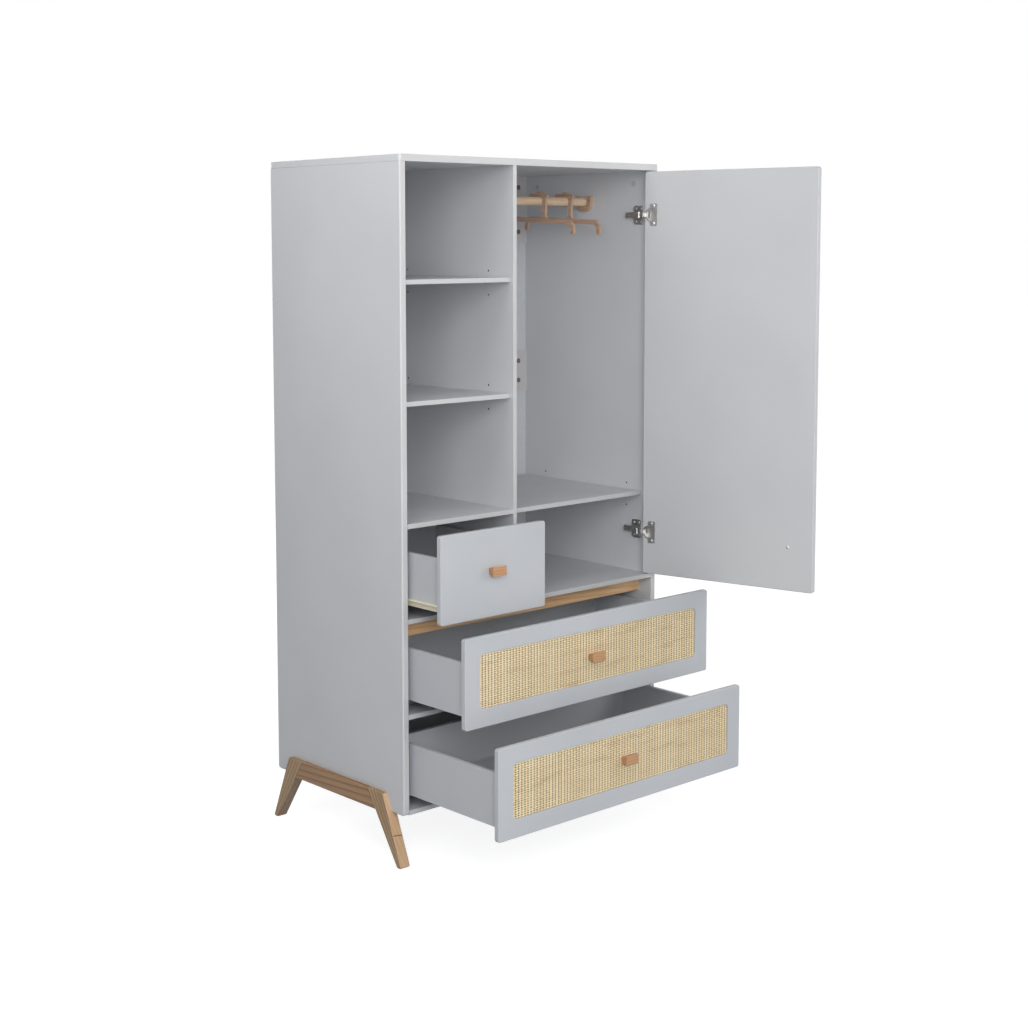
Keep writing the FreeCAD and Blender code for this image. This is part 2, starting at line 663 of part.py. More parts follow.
def hanger(x_low):
    """A flat wooden hanger across the rod: hook, neck, bar and two fingers that point down."""
    x = (x_low, x_low + HANGER_THICKNESS)
    y_neck = -(ROD_RADIUS + NECK_CLEARANCE + NECK_WIDTH)
    y_neck_rear = y_neck + NECK_WIDTH
    bar_top = -BAR_DROP + BAR_HALF_HEIGHT
    half_straight = BAR_HALF_SPAN - BAR_BEND_RADIUS
    crown = disc((HOOK_CROWN_REAR, HOOK_CROWN_RISE), HOOK_CROWN_RADIUS, "x", *x)
    lobe_ends = ((-HOOK_FRONT_REACH, HOOK_LOBE_RISE), (HOOK_REAR_REACH, HOOK_LOBE_RISE))
    lobes = strip(*lobe_ends, HOOK_LOBE_RADIUS, "x", *x)
    neck = box(x, (y_neck, y_neck_rear), (-BAR_DROP, HOOK_LOBE_RISE))
    root_y = (y_neck - NECK_ROOT_RADIUS, y_neck_rear + NECK_ROOT_RADIUS)
    root = box(x, root_y, (bar_top, bar_top + NECK_ROOT_RADIUS))
    scoops = [
        disc((y, bar_top + NECK_ROOT_RADIUS), NECK_ROOT_RADIUS, "x", x[0] - OVERRUN, x[1] + OVERRUN)
        for y in root_y
    ]
    bar_ends = (BAR_CENTRE_REAR - half_straight, BAR_CENTRE_REAR + half_straight)
    bar = box(x, bar_ends, (-BAR_DROP - BAR_HALF_HEIGHT, bar_top))
    below_hook = box(
        (x[0] - OVERRUN, x[1] + OVERRUN),
        (y_neck_rear, HOOK_CROWN_REAR + HOOK_CROWN_RADIUS + OVERRUN),
        (-HOOK_CROWN_RADIUS, HOOK_LOBE_RISE - HOOK_LOBE_RADIUS),
    )
    rod_space = disc((0, 0), ROD_RADIUS + HANGER_PLAY, "x", x[0] - OVERRUN, x[1] + OVERRUN)
    pieces = [lobes, neck, root.cut(scoops), bar] + [bar_end(end, x) for end in (-1, 1)]
    body = crown.cut(below_hook).multiFuse(pieces).removeSplitter()
    flat = [face for face in body.Faces if face.BoundBox.XMax < x[0] + MATCH_TOLERANCE][0]
    body = softened(flat, HANGER_INNER_ROUND).extrude(V(HANGER_THICKNESS, 0, 0))
    body = body.cut(rod_space).removeSplitter()
    body = turned(body, V(0, 0, 0), V(1, 0, 0), HANGER_TILT_DEGREES)
    return moved(body, y=ROD_REAR_SHIFT, z=Z_ROD)


def leg_edge(span, width, z):
    """How far the outer and inner edges of a leg lie from the middle of its frame at a level."""
    top = FLOOR_CLEARANCE + LEG_LAP
    share = z / top
    outer = LEG_FOOT_SPAN / 2 + (LEG_TOP_SPAN - LEG_FOOT_SPAN) / 2 * share
    inner_foot = LEG_FOOT_SPAN / 2 - LEG_FOOT_WIDTH
    inner_top = LEG_TOP_SPAN / 2 - LEG_TOP_WIDTH
    return outer, inner_foot + (inner_top - inner_foot) * share


def leg(side, end):
    """A splayed leg: it laps the outside of the carcass and is thicker below it."""
    top = FLOOR_CLEARANCE + LEG_LAP
    outer_foot, inner_foot = leg_edge(LEG_FOOT_SPAN, LEG_FOOT_WIDTH, 0)
    outer_top, inner_top = leg_edge(LEG_TOP_SPAN, LEG_TOP_WIDTH, top)
    foot = [(end * outer_foot, 0), (end * inner_foot, 0)]
    outline = foot + [(end * inner_top, top), (end * outer_top, top)]
    x_outer = side * (X_OUT + LEG_OUTSET)
    x = sorted((side * X_IN, x_outer))
    blank = prism(outline, "x", *x)
    blank = blank.makeFillet(LEG_TOP_ROUND, edges_along(blank, "x", y=end * outer_top, z=top))
    foot_round = min(LEG_FOOT_ROUND, LEG_FOOT_WIDTH * EDGE_LIMIT_SHARE)
    blank = blank.makeFillet(foot_round, edges_along(blank, "x", z=0))
    blank = blank.makeFillet(LEG_RIM_ROUND, edges_across(blank, "x", x_outer))
    notch_x = sorted((side * (X_IN - OVERRUN), side * X_OUT))
    notch = box(notch_x, (-LEG_FOOT_SPAN, LEG_FOOT_SPAN), (Z_BASE, top + OVERRUN))
    body = blank.cut(notch)
    shoulder = Z_BASE - MATCH_TOLERANCE
    inner_rims = [edge for edge in edges_across(body, "x", side * X_IN) if edge.BoundBox.ZMin < shoulder]
    return body.makeFillet(foot_round * LEG_INNER_ROUND_SHARE, inner_rims)


def leg_rail(side):
    """The rail that joins the two legs of one end, outside the carcass."""
    top = FLOOR_CLEARANCE + LEG_LAP
    low = top - LEG_RAIL_HEIGHT
    inner_top = leg_edge(LEG_TOP_SPAN, LEG_TOP_WIDTH, top)[1]
    inner_low = leg_edge(LEG_FOOT_SPAN, LEG_FOOT_WIDTH, low)[1]
    outline = [(-inner_top, top), (inner_top, top), (inner_low, low), (-inner_low, low)]
    x_outer = side * (X_OUT + LEG_OUTSET)
    rail = prism(outline, "x", *sorted((side * X_OUT, x_outer)))
    rims = [edge for z in (low, top) for edge in edges_along(rail, "y", x=x_outer, z=z)]
    return rail.makeFillet(LEG_RIM_ROUND, rims)


def knob(x, y, z):
    """A wooden block that widens from its base at y towards its face."""
    wires = []
    for width, height, level in (
        (KNOB_BASE_WIDTH, KNOB_BASE_HEIGHT, y),
        (KNOB_FACE_WIDTH, KNOB_FACE_HEIGHT, y - KNOB_LENGTH),
    ):
        corners = [
            V(x + i * width / 2, level, z + k * height / 2)
            for i, k in ((-1, -1), (1, -1), (1, 1), (-1, 1))
        ]
        wires.append(Part.makePolygon(corners + corners[:1]))
    block = Part.makeLoft(wires, True)
    corners = [edge for edge in block.Edges if edge.BoundBox.YLength > KNOB_LENGTH / 2]
    block = block.makeFillet(KNOB_CORNER_ROUND, corners)
    block = block.makeFillet(KNOB_EDGE_ROUND, edges_across(block, "y", y - KNOB_LENGTH))
    bite = KNOB_SCREW_BITE + SCREW_PLAY
    hole = Part.makeCylinder(SCREW_RADIUS + SCREW_PLAY, bite, V(x, y, z), V(0, -1, 0))
    return block.cut(hole)


def knob_screw(x, y_inner, y_base, z, play):
    """The screw that holds a knob from the back of its board."""
    length = y_inner - y_base + (0 if play else KNOB_SCREW_BITE)
    return screw((x, y_inner, z), (0, -1, 0), length, play)


def door_board():
    """The door, with cup pockets and the knob's screw hole."""
    x = (X_DOOR_FREE, X_DOOR_EDGE)
    z = (Z_DOOR, Z_DOOR_TOP)
    board = panel(x, (Y_FRONT, Y_DOOR_INNER), z, "y", FRONT_CORNER_RADIUS, DOOR_EDGE_ROUND)
    pocket_y = (Y_DOOR_INNER - CUP_DEPTH - CUP_PLAY, Y_DOOR_INNER + OVERRUN)
    cuts = [disc((CUP_X, level), CUP_RADIUS + CUP_PLAY, "y", *pocket_y) for level in HINGE_LEVELS]
    cuts.append(knob_screw(DOOR_KNOB[0], Y_DOOR_INNER, Y_FRONT, DOOR_KNOB[1], SCREW_PLAY))
    cuts += [screw(place, (0, -1, 0), SCREW_LENGTH, SCREW_PLAY) for place in CUP_SCREWS]
    return board.cut(cuts)


def hinge_cup(level):
    """A round cup sunk in the door, with a screw flange on the door's inner face."""
    top = Y_DOOR_INNER + FLANGE_THICKNESS
    y_flange = (Y_DOOR_INNER, top)
    z_flange = (level - FLANGE_HEIGHT / 2, level + FLANGE_HEIGHT / 2)
    flange = plate(FLANGE_X, y_flange, z_flange, "y", FLANGE_CORNER)
    rim = disc((CUP_X, level), CUP_RADIUS + CUP_RIM_WIDTH, "y", *y_flange)
    y_base = Y_DOOR_INNER - CUP_DEPTH
    bowl = disc((CUP_X, level), CUP_RADIUS, "y", y_base, Y_DOOR_INNER)
    hollow = disc((CUP_X, level), CUP_RADIUS - CUP_WALL, "y", y_base + CUP_WALL, top + OVERRUN)
    body = flange.multiFuse([rim, bowl]).cut([hollow]).removeSplitter()
    holes = [screw(place, (0, -1, 0), SCREW_LENGTH, SCREW_PLAY) for place in CUP_SCREWS]
    return body.cut(holes)


def cup_pin(level):
    """The pin across a cup that its link turns on."""
    offset = CUP_RADIUS + CUP_TAB - CUP_PIN_FROM_EDGE
    half = math.sqrt((CUP_RADIUS - CUP_WALL) ** 2 - (offset + CUP_PIN_RADIUS) ** 2)
    centre = (CUP_PIN_SHUT.x, CUP_PIN_SHUT.y)
    return disc(centre, CUP_PIN_RADIUS, "z", level - half, level + half)


def hinge_link(level):
    """The cranked link from the arm's pin, round the door's edge, to the pin in the cup."""
    z = (level - LINK_HEIGHT / 2, level + LINK_HEIGHT / 2)
    back = LINK_SPAN * (-1 / LINK_LENGTH)
    aside = turned_vector(back, 90)
    route = [CUP_PIN_SHUT]
    for run, bulge in LINK_ARCH_SHARES:
        route.append(CUP_PIN_SHUT + back * (run * LINK_LENGTH) + aside * (bulge * LINK_LENGTH))
    route.append(ARM_PIN)
    legs = zip(route[:-1], route[1:])
    runs = [strip((a.x, a.y), (b.x, b.y), LINK_THICKNESS / 2, "z", *z) for a, b in legs]
    eyes = [
        disc((CUP_PIN_SHUT.x, CUP_PIN_SHUT.y), LINK_CUP_EYE, "z", *z),
        disc((ARM_PIN.x, ARM_PIN.y), LINK_ARM_EYE, "z", *z),
    ]
    bores = [
        disc((CUP_PIN_SHUT.x, CUP_PIN_SHUT.y), CUP_PIN_RADIUS + HINGE_PIN_PLAY, "z", *z),
        disc((ARM_PIN.x, ARM_PIN.y), ARM_PIN_RADIUS + HINGE_PIN_PLAY, "z", *z),
    ]
    return runs[0].multiFuse(runs[1:] + eyes).cut(bores).removeSplitter()


def arm_outline():
    """The arm seen from above: a straight tail that cranks out to the pin."""
    x_near = X_IN - ARM_STANDOFF
    x_far = x_near - ARM_DEPTH
    y_tail = Y_FRONT + ARM_TAIL_SETBACK
    y_crank = Y_FRONT + ARM_CRANK_SETBACK
    return [
        (x_near, y_tail),
        (x_far, y_tail),
        (x_far, y_crank),
        (ARM_PIN.x - LINK_ARM_EYE, ARM_PIN.y),
        (ARM_PIN.x, ARM_PIN.y - LINK_ARM_EYE),
        (ARM_PIN.x + LINK_ARM_EYE, ARM_PIN.y - LINK_ARM_EYE / 2),
        (x_near, y_crank - ARM_DEPTH / 2),
    ]


def hinge_arm(level):
    """A folded steel arm: two cheeks, a web along the inner side and an open end at the pin."""
    z = (level - ARM_HEIGHT / 2, level + ARM_HEIGHT / 2)
    whole = prism(arm_outline(), "z", *z)
    near, tail, crank, pin_side = arm_outline()[:4]
    inner_z = (z[0] + ARM_WALL, z[1] - ARM_WALL)
    reach = crank[1] - pin_side[1]
    stop_share = 1 - ARM_WEB_STOP / reach
    stop = (crank[0] + (pin_side[0] - crank[0]) * stop_share, crank[1] - reach * stop_share)
    hollow = prism(
        [
            (near[0] + OVERRUN, near[1] + OVERRUN),
            (tail[0] + ARM_WALL, tail[1] + OVERRUN),
            (crank[0] + ARM_WALL, crank[1]),
            (stop[0] + ARM_WALL, stop[1]),
            (stop[0] - OVERRUN, stop[1]),
            (pin_side[0] - OVERRUN, pin_side[1] - LINK_ARM_EYE - OVERRUN),
            (near[0] + OVERRUN, pin_side[1] - LINK_ARM_EYE - OVERRUN),
        ],
        "z", *inner_z,
    )
    bore = disc((ARM_PIN.x, ARM_PIN.y), ARM_PIN_RADIUS, "z", z[0] - OVERRUN, z[1] + OVERRUN)
    core = plate_core(level, SCREW_PLAY)
    return whole.cut([hollow, bore, core])


def plate_core(level, play):
    """The raised core of a mounting plate, which the arm sits over."""
    x = (X_IN - PLATE_CORE_THICKNESS - play, X_IN)
    y_end = PLATE_WING_Y[0] + PLATE_CORE_LENGTH + play
    half = PLATE_CORE_HEIGHT / 2 + play
    return box(x, (PLATE_WING_Y[0] - play, y_end), (level - half, level + half))


def hinge_plate(level):
    """A winged plate screwed to the right side."""
    x = (X_IN - PLATE_WING_THICKNESS, X_IN)
    half = PLATE_WING_HEIGHT / 2
    wings = panel(x, PLATE_WING_Y, (level - half, level + half), "x", PLATE_WING_CORNER, PLATE_EDGE_ROUND)
    holes = [screw(place, (1, 0, 0), SCREW_LENGTH, SCREW_PLAY) for place in PLATE_SCREWS]
    return wings.fuse(plate_core(level, 0)).removeSplitter().cut(holes)


def drawer_spans(bay, z_low, z_high):
    """The outer spans of a drawer's front and of its box, with the drawer shut."""
    front_x = (bay[0] + DRAWER_GAP, bay[1] - DRAWER_GAP)
    front_z = (z_low + DRAWER_GAP, z_high - DRAWER_GAP)
    box_x = (bay[0] + BOX_SIDE_SPACE, bay[1] - BOX_SIDE_SPACE)
    box_z = (front_z[0] + BOX_RISE, front_z[0] + BOX_RISE + BOX_HEIGHT)
    box_y = (Y_FRONT + FRONT_THICKNESS, Y_FRONT + FRONT_THICKNESS + BOX_LENGTH)
    return front_x, front_z, box_x, box_y, box_z


def box_bottom(box_x, box_y, box_z, play):
    """The thin bottom of a drawer, let into its sides and front, or its groove with play."""
    bite = BOX_GROOVE_DEPTH - BOX_WALL + (play if play else -BOX_GROOVE_PLAY)
    x = (box_x[0] - bite, box_x[1] + bite)
    front_bite = BOX_GROOVE_DEPTH + (play if play else -BOX_GROOVE_PLAY)
    y = (box_y[0] - front_bite, box_y[1] + play)
    z_low = box_z[0] + BOX_BOTTOM_RISE
    return box(x, y, (z_low - play, z_low + BOX_BOTTOM_THICKNESS + play))


def box_walls(box_x, box_y, box_z):
    """Two sides, grooved for the bottom, and a back that stands on it."""
    groove = box_bottom(box_x, box_y, box_z, BOX_GROOVE_PLAY)
    left = box((box_x[0], box_x[0] + BOX_WALL), box_y, box_z)
    right = box((box_x[1] - BOX_WALL, box_x[1]), box_y, box_z)
    back_z = (box_z[0] + BOX_BOTTOM_RISE + BOX_BOTTOM_THICKNESS, box_z[1])
    back = box((box_x[0] + BOX_WALL, box_x[1] - BOX_WALL), (box_y[1] - BOX_WALL, box_y[1]), back_z)
    walls = []
    for wall in (left, right, back):
        top_edges = [edge for axis in "xy" for edge in edges_along(wall, axis, z=box_z[1])]
        rims = [edge for edge in top_edges if edge.Length > 2 * BOX_WALL]
        walls.append(wall.makeFillet(THIN_EDGE_ROUND, rims))
    left, right, back = walls
    return [left.cut(groove), right.cut(groove), back]


def cane_panel(front_x, front_z, play, depth):
    """The cane panel in its pocket, or the pocket with play."""
    x = (front_x[0] + CANE_SIDE_MARGIN - play, front_x[1] - CANE_SIDE_MARGIN + play)
    z = (front_z[0] + CANE_BOTTOM_MARGIN - play, front_z[1] - CANE_TOP_MARGIN + play)
    y_high = Y_FRONT + CANE_POCKET_DEPTH
    return plate(x, (y_high - depth, y_high), z, "y", CANE_CORNER_RADIUS)


def drawer_front(spans, knob_z, knob_base, with_cane):
    """A drawer's front board, grooved for the bottom, with its knob hole and any cane pocket."""
    front_x, front_z, box_x, box_y, box_z = spans
    y = (Y_FRONT, Y_FRONT + FRONT_THICKNESS)
    board = panel(front_x, y, front_z, "y", FRONT_CORNER_RADIUS, FRONT_EDGE_ROUND)
    knob_x = (front_x[0] + front_x[1]) / 2
    cuts = [box_bottom(box_x, box_y, box_z, BOX_GROOVE_PLAY)]
    cuts.append(knob_screw(knob_x, y[1], knob_base, knob_z, SCREW_PLAY))
    if not with_cane:
        return board.cut(cuts)
    pocket = cane_panel(front_x, front_z, CANE_PLAY, CANE_POCKET_DEPTH + OVERRUN)
    board = board.cut(cuts + [pocket])
    rim_span = pocket.BoundBox.XLength + MATCH_TOLERANCE
    face = [face for face in board.Faces if face.BoundBox.YMax < Y_FRONT + MATCH_TOLERANCE][0]
    pocket_rims = [wire for wire in face.Wires if wire.BoundBox.XLength < rim_span]
    return board.makeFillet(POCKET_EDGE_ROUND, pocket_rims[0].Edges)


def runner_x(bay, side, near, far):
    """A span measured inwards from the left (-1) or right (+1) wall of a bay."""
    wall = bay[0] if side < 0 else bay[1]
    return sorted((wall - side * near, wall - side * far))


BOX_FRONT_Y = Y_FRONT + FRONT_THICKNESS
RUNNER_Y = BOX_FRONT_Y + RUNNER_FRONT_GAP
ROLLER_CHANNEL_HEIGHT = 2 * ROLLER_RADIUS + 2 * ROLLER_PLAY
ROLLER_INSET = ROLLER_RUNNER_WALL + ROLLER_PLAY


def roller_levels(z_box):
    """Levels of the channel floor, the rear and front roller axles and the running lip."""
    channel = z_box - ROLLER_CHANNEL_DROP + ROLLER_RUNNER_WALL
    lip = channel + ROLLER_CHANNEL_HEIGHT + 2 * ROLLER_RUNNER_WALL
    return SimpleNamespace(
        channel=channel,
        rear_axle=channel + ROLLER_PLAY + ROLLER_RADIUS,
        front_axle=lip - ROLLER_PLAY - ROLLER_RADIUS,
        lip=lip,
    )


def roller(bay, side, y, z):
    """A nylon roller with its bore."""
    x = runner_x(bay, side, ROLLER_INSET, ROLLER_INSET + ROLLER_WIDTH)
    wheel = disc((y, z), ROLLER_RADIUS, "x", *x)
    return wheel.cut(disc((y, z), ROLLER_AXLE_RADIUS + ROLLER_AXLE_PLAY, "x", *x))


def roller_cabinet_runner(bay, side, z_box):
    """A channel on the wall, with the axle of the front roller; its top is cut away there."""
    levels = roller_levels(z_box)
    y = (RUNNER_Y, RUNNER_Y + ROLLER_RUNNER_LENGTH)
    low = levels.channel - ROLLER_RUNNER_WALL
    top = levels.channel + ROLLER_CHANNEL_HEIGHT
    web = box(runner_x(bay, side, 0, ROLLER_RUNNER_WALL), y, (low, top + ROLLER_RUNNER_WALL))
    wide = runner_x(bay, side, 0, ROLLER_CHANNEL_WIDTH)
    floor = box(wide, y, (low, levels.channel))
    cover = box(wide, (y[0] + ROLLER_FRONT_NOTCH, y[1]), (top, top + ROLLER_RUNNER_WALL))
    axle_y = y[0] + ROLLER_END_INSET
    axle_x = runner_x(bay, side, 0, ROLLER_INSET + ROLLER_WIDTH + ROLLER_RUNNER_WALL)
    axle = disc((axle_y, levels.front_axle), ROLLER_AXLE_RADIUS, "x", *axle_x)
    return web.multiFuse([floor, cover, axle]).removeSplitter()


def roller_drawer_runner(bay, side, z_box):
    """A section round the lower edge of the box side, with a running lip and the rear roller's axle."""
    levels = roller_levels(z_box)
    y = (BOX_FRONT_Y, BOX_FRONT_Y + ROLLER_RUNNER_LENGTH)
    outer = BOX_SIDE_SPACE - ROLLER_RUNNER_WALL
    low = z_box - ROLLER_RUNNER_WALL
    top = levels.lip + ROLLER_RUNNER_WALL
    web = box(runner_x(bay, side, outer, BOX_SIDE_SPACE), y, (low, top))
    foot = box(runner_x(bay, side, outer, BOX_SIDE_SPACE + BOX_WALL), y, (low, z_box))
    reach = runner_x(bay, side, ROLLER_INSET, BOX_SIDE_SPACE)
    run = box(reach, y, (levels.lip, top))
    axle_y = y[1] - ROLLER_END_INSET
    axle = disc((axle_y, levels.rear_axle), ROLLER_AXLE_RADIUS, "x", *reach)
    return web.multiFuse([foot, run, axle]).removeSplitter()


def slide_cabinet_member(side, z_under):
    """An angle on the wall with a lipped shelf that passes below the box side to the middle member."""
    foot = z_under - SLIDE_HEIGHT
    y = (RUNNER_Y, RUNNER_Y + SLIDE_LENGTH)
    flange = box(runner_x(WHOLE_BAY, side, 0, SLIDE_WALL), y, (foot, z_under + SLIDE_FLANGE_RISE))
    shelf_part = box(runner_x(WHOLE_BAY, side, 0, SLIDE_SHELF_WIDTH), y, (foot, foot + SLIDE_WALL))
    lip_x = runner_x(WHOLE_BAY, side, SLIDE_SHELF_WIDTH - SLIDE_WALL, SLIDE_SHELF_WIDTH)
    lip = box(lip_x, y, (foot, foot + SLIDE_LIP_HEIGHT))
    return flange.multiFuse([shelf_part, lip]).removeSplitter()


def slide_middle_member(side, z_under):
    """The middle member, a downward channel between the shelf and the cap."""
    y = (RUNNER_Y, RUNNER_Y + SLIDE_MIDDLE_LENGTH)
    low = z_under - SLIDE_HEIGHT + SLIDE_WALL + SLIDE_PLAY
    middle_top = z_under - SLIDE_WALL - SLIDE_PLAY
    near = SLIDE_MIDDLE_OFFSET
    far = near + SLIDE_MIDDLE_WIDTH
    outside = box(runner_x(WHOLE_BAY, side, near, far), y, (low, middle_top))
    inside = box(
        runner_x(WHOLE_BAY, side, near + SLIDE_WALL, far - SLIDE_WALL),
        (y[0] - OVERRUN, y[1] + OVERRUN),
        (low - OVERRUN, middle_top - SLIDE_WALL),
    )
    return outside.cut(inside)


def slide_drawer_member(side, z_under):
    """The cap under the drawer's bottom, with skirts beside the middle member."""
    y = (BOX_FRONT_Y, BOX_FRONT_Y + SLIDE_LENGTH)
    near = SLIDE_MIDDLE_OFFSET - SLIDE_PLAY
    far = SLIDE_MIDDLE_OFFSET + SLIDE_MIDDLE_WIDTH + SLIDE_PLAY
    outer_x = runner_x(WHOLE_BAY, side, near - SLIDE_WALL, far + SLIDE_WALL)
    outside = box(outer_x, y, (z_under - SLIDE_CAP_SKIRT, z_under))
    inside = box(
        runner_x(WHOLE_BAY, side, near, far),
        (y[0] - OVERRUN, y[1] + OVERRUN),
        (z_under - SLIDE_CAP_SKIRT - OVERRUN, z_under - SLIDE_WALL),
    )
    return outside.cut(inside)


def write_drawer(name, bay, z_low, z_high, opening, with_cane):
    """All the nodes of one drawer, pulled out by its opening."""
    spans = drawer_spans(bay, z_low, z_high)
    front_x, front_z, box_x, box_y, box_z = spans
    knob_x = (front_x[0] + front_x[1]) / 2
    if with_cane:
        knob_z = (front_z[0] + CANE_BOTTOM_MARGIN + front_z[1] - CANE_TOP_MARGIN) / 2
        knob_base = Y_FRONT + CANE_POCKET_DEPTH - CANE_THICKNESS
    else:
        knob_z = front_z[0] + SMALL_KNOB_RISE
        knob_base = Y_FRONT
    out = -opening
    hole = knob_screw(knob_x, Y_FRONT + FRONT_THICKNESS, knob_base, knob_z, SCREW_PLAY)
    write(name + "_front", moved(drawer_front(spans, knob_z, knob_base, with_cane), y=out))
    if with_cane:
        cane = cane_panel(front_x, front_z, 0, CANE_THICKNESS).cut(hole)
        write(name + "_cane_panel", moved(cane, y=out))
    write(name + "_walls", *[moved(wall, y=out) for wall in box_walls(box_x, box_y, box_z)])
    write(name + "_bottom", moved(box_bottom(box_x, box_y, box_z, 0), y=out))
    write(name + "_knob", moved(knob(knob_x, knob_base, knob_z), y=out))
    fixing = knob_screw(knob_x, Y_FRONT + FRONT_THICKNESS, knob_base, knob_z, 0)
    write(name + "_knob_screw", moved(fixing, y=out))
    return box_z[0]


os.makedirs("parts", exist_ok=True)

# Carcass boards
write("top_panel", top_panel())
write("left_side_panel", side_panel(-1))
write("right_side_panel", side_panel(1))
write("centre_divider", divider())
Y_BOARD_REAR = Y_SHEET - SHEET_PLAY
write("middle_floor", level_board(WHOLE_BAY, Z_FLOOR, FLOOR_THICKNESS, Y_FRONT, Y_BOARD_REAR))
write("small_drawer_ceiling", level_board(LEFT_BAY, Z_CEILING, CEILING_THICKNESS, Y_FRONT, Y_BOARD_REAR))
write("bottom_panel", level_board(WHOLE_BAY, Z_BASE, BOTTOM_THICKNESS, Y_FRONT, Y_BOARD_REAR))
cross_rail_rear = Y_FRONT + CROSS_RAIL_DEPTH
write("cross_rail", level_board(WHOLE_BAY, Z_CROSS_RAIL, CROSS_RAIL_THICKNESS, Y_FRONT, cross_rail_rear))
stretcher_y = (Y_FRONT + STRETCHER_SETBACK, Y_FRONT + STRETCHER_SETBACK + STRETCHER_THICKNESS)
write("front_stretcher", box(WHOLE_BAY, stretcher_y, (Z_FLOOR - STRETCHER_HEIGHT, Z_FLOOR)))
write("rear_rails", *rear_rails())
write("back_sheets", *back_sheets())
write("cam_locks", *cam_locks())

# Shelves
write("left_shelves", *[shelf(LEFT_BAY, z, LEFT_SHELF_SETBACK) for z in LEFT_SHELF_UNDERSIDES])
write("right_shelf", shelf(RIGHT_BAY, RIGHT_SHELF_UNDERSIDE, RIGHT_SHELF_SETBACK))
write("shelf_pins", *shelf_pins())

# Hanging rod
rod_x = (X_RIGHT_BAY + ROD_END_PLAY, X_IN - ROD_END_PLAY)
write("hanging_rod", disc(ROD_CENTRE, ROD_RADIUS, "x", *rod_x))
write("rod_sockets", *rod_sockets())
socket_screws = [screw(tip, into, SOCKET_SCREW_LENGTH - SCREW_PLAY, 0) for tip, into in SOCKET_SCREWS]
write("socket_screws", *socket_screws)
for name, distance in zip(("first_hanger", "second_hanger"), HANGER_END_DISTANCES):
    write(name, hanger(X_IN - distance - HANGER_THICKNESS / 2))

# Legs
write("legs", *[leg(side, end) for side in (-1, 1) for end in (-1, 1)])
write("leg_rails", *[leg_rail(side) for side in (-1, 1)])

# Door and hinges
write("hinge_plates", *[hinge_plate(level) for level in HINGE_LEVELS])
plate_screws = [screw(place, (1, 0, 0), SCREW_LENGTH - SCREW_PLAY, 0) for place in PLATE_SCREWS]
write("hinge_plate_screws", *plate_screws)
write("hinge_arms", *[hinge_arm(level) for level in HINGE_LEVELS])
arm_pin_half = ARM_HEIGHT / 2
arm_pins = [
    disc((ARM_PIN.x, ARM_PIN.y), ARM_PIN_RADIUS, "z", level - arm_pin_half, level + arm_pin_half)
    for level in HINGE_LEVELS
]
write("hinge_arm_pins", *arm_pins)
write("hinge_links", *[opened_link(hinge_link(level)) for level in HINGE_LEVELS])
write("door_panel", opened_door(door_board()))
write("hinge_cups", *[opened_door(hinge_cup(level)) for level in HINGE_LEVELS])
write("hinge_cup_pins", *[opened_door(cup_pin(level)) for level in HINGE_LEVELS])
cup_screws = [screw(place, (0, -1, 0), SCREW_LENGTH - SCREW_PLAY, 0) for place in CUP_SCREWS]
write("hinge_cup_screws", *[opened_door(piece) for piece in cup_screws])
write("door_knob", opened_door(knob(DOOR_KNOB[0], Y_FRONT, DOOR_KNOB[1])))
door_knob_screw = knob_screw(DOOR_KNOB[0], Y_DOOR_INNER, Y_FRONT, DOOR_KNOB[1], 0)
write("door_knob_screw", opened_door(door_knob_screw))

# Small drawer on roller runners
z_small = write_drawer("small_drawer", LEFT_BAY, Z_SMALL_BAY, Z_CEILING, SMALL_OPENING, False)
write("small_cabinet_runners", *[roller_cabinet_runner(LEFT_BAY, side, z_small) for side in (-1, 1)])
drawer_runners = [roller_drawer_runner(LEFT_BAY, side, z_small) for side in (-1, 1)]
write("small_drawer_runners", *[moved(runner, y=-SMALL_OPENING) for runner in drawer_runners])
levels = roller_levels(z_small)
front_axle = (RUNNER_Y + ROLLER_END_INSET, levels.front_axle)
rear_axle_y = BOX_FRONT_Y + ROLLER_RUNNER_LENGTH - ROLLER_END_INSET - SMALL_OPENING
rear_axle = (rear_axle_y, levels.rear_axle)
write("small_front_rollers", *[roller(LEFT_BAY, side, *front_axle) for side in (-1, 1)])
write("small_rear_rollers", *[roller(LEFT_BAY, side, *rear_axle) for side in (-1, 1)])

# Wide drawers on slides below their bottoms
z_upper = write_drawer("upper_drawer", WHOLE_BAY, Z_UPPER_BAY, Z_FLOOR, UPPER_OPENING, True)
z_lower = write_drawer("lower_drawer", WHOLE_BAY, Z_LOWER_BAY, Z_CROSS_RAIL, LOWER_OPENING, True)
wide_drawers = (
    ("upper", z_upper + BOX_BOTTOM_RISE, UPPER_OPENING),
    ("lower", z_lower + BOX_BOTTOM_RISE, LOWER_OPENING),
)
cabinet_members = [slide_cabinet_member(side, z) for _, z, _ in wide_drawers for side in (-1, 1)]
write("wide_cabinet_runners", *cabinet_members)
for name, z_under, opening in wide_drawers:
    middles = [slide_middle_member(side, z_under) for side in (-1, 1)]
    caps = [slide_drawer_member(side, z_under) for side in (-1, 1)]
    write(name + "_middle_runners", *[moved(member, y=-opening / 2) for member in middles])
    write(name + "_drawer_runners", *[moved(member, y=-opening) for member in caps])

# Axes of the joints, for the record
print("arm pin axis", ARM_PIN.x, ARM_PIN.y)
print("cup pin axis, door open", CUP_PIN_OPEN.x, CUP_PIN_OPEN.y)
print("roller axes", front_axle, rear_axle)
print("rod axis", ROD_REAR_SHIFT, Z_ROD)
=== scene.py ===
import math
from functools import partial

import bmesh
import bpy
import numpy
from mathutils import Matrix, Vector


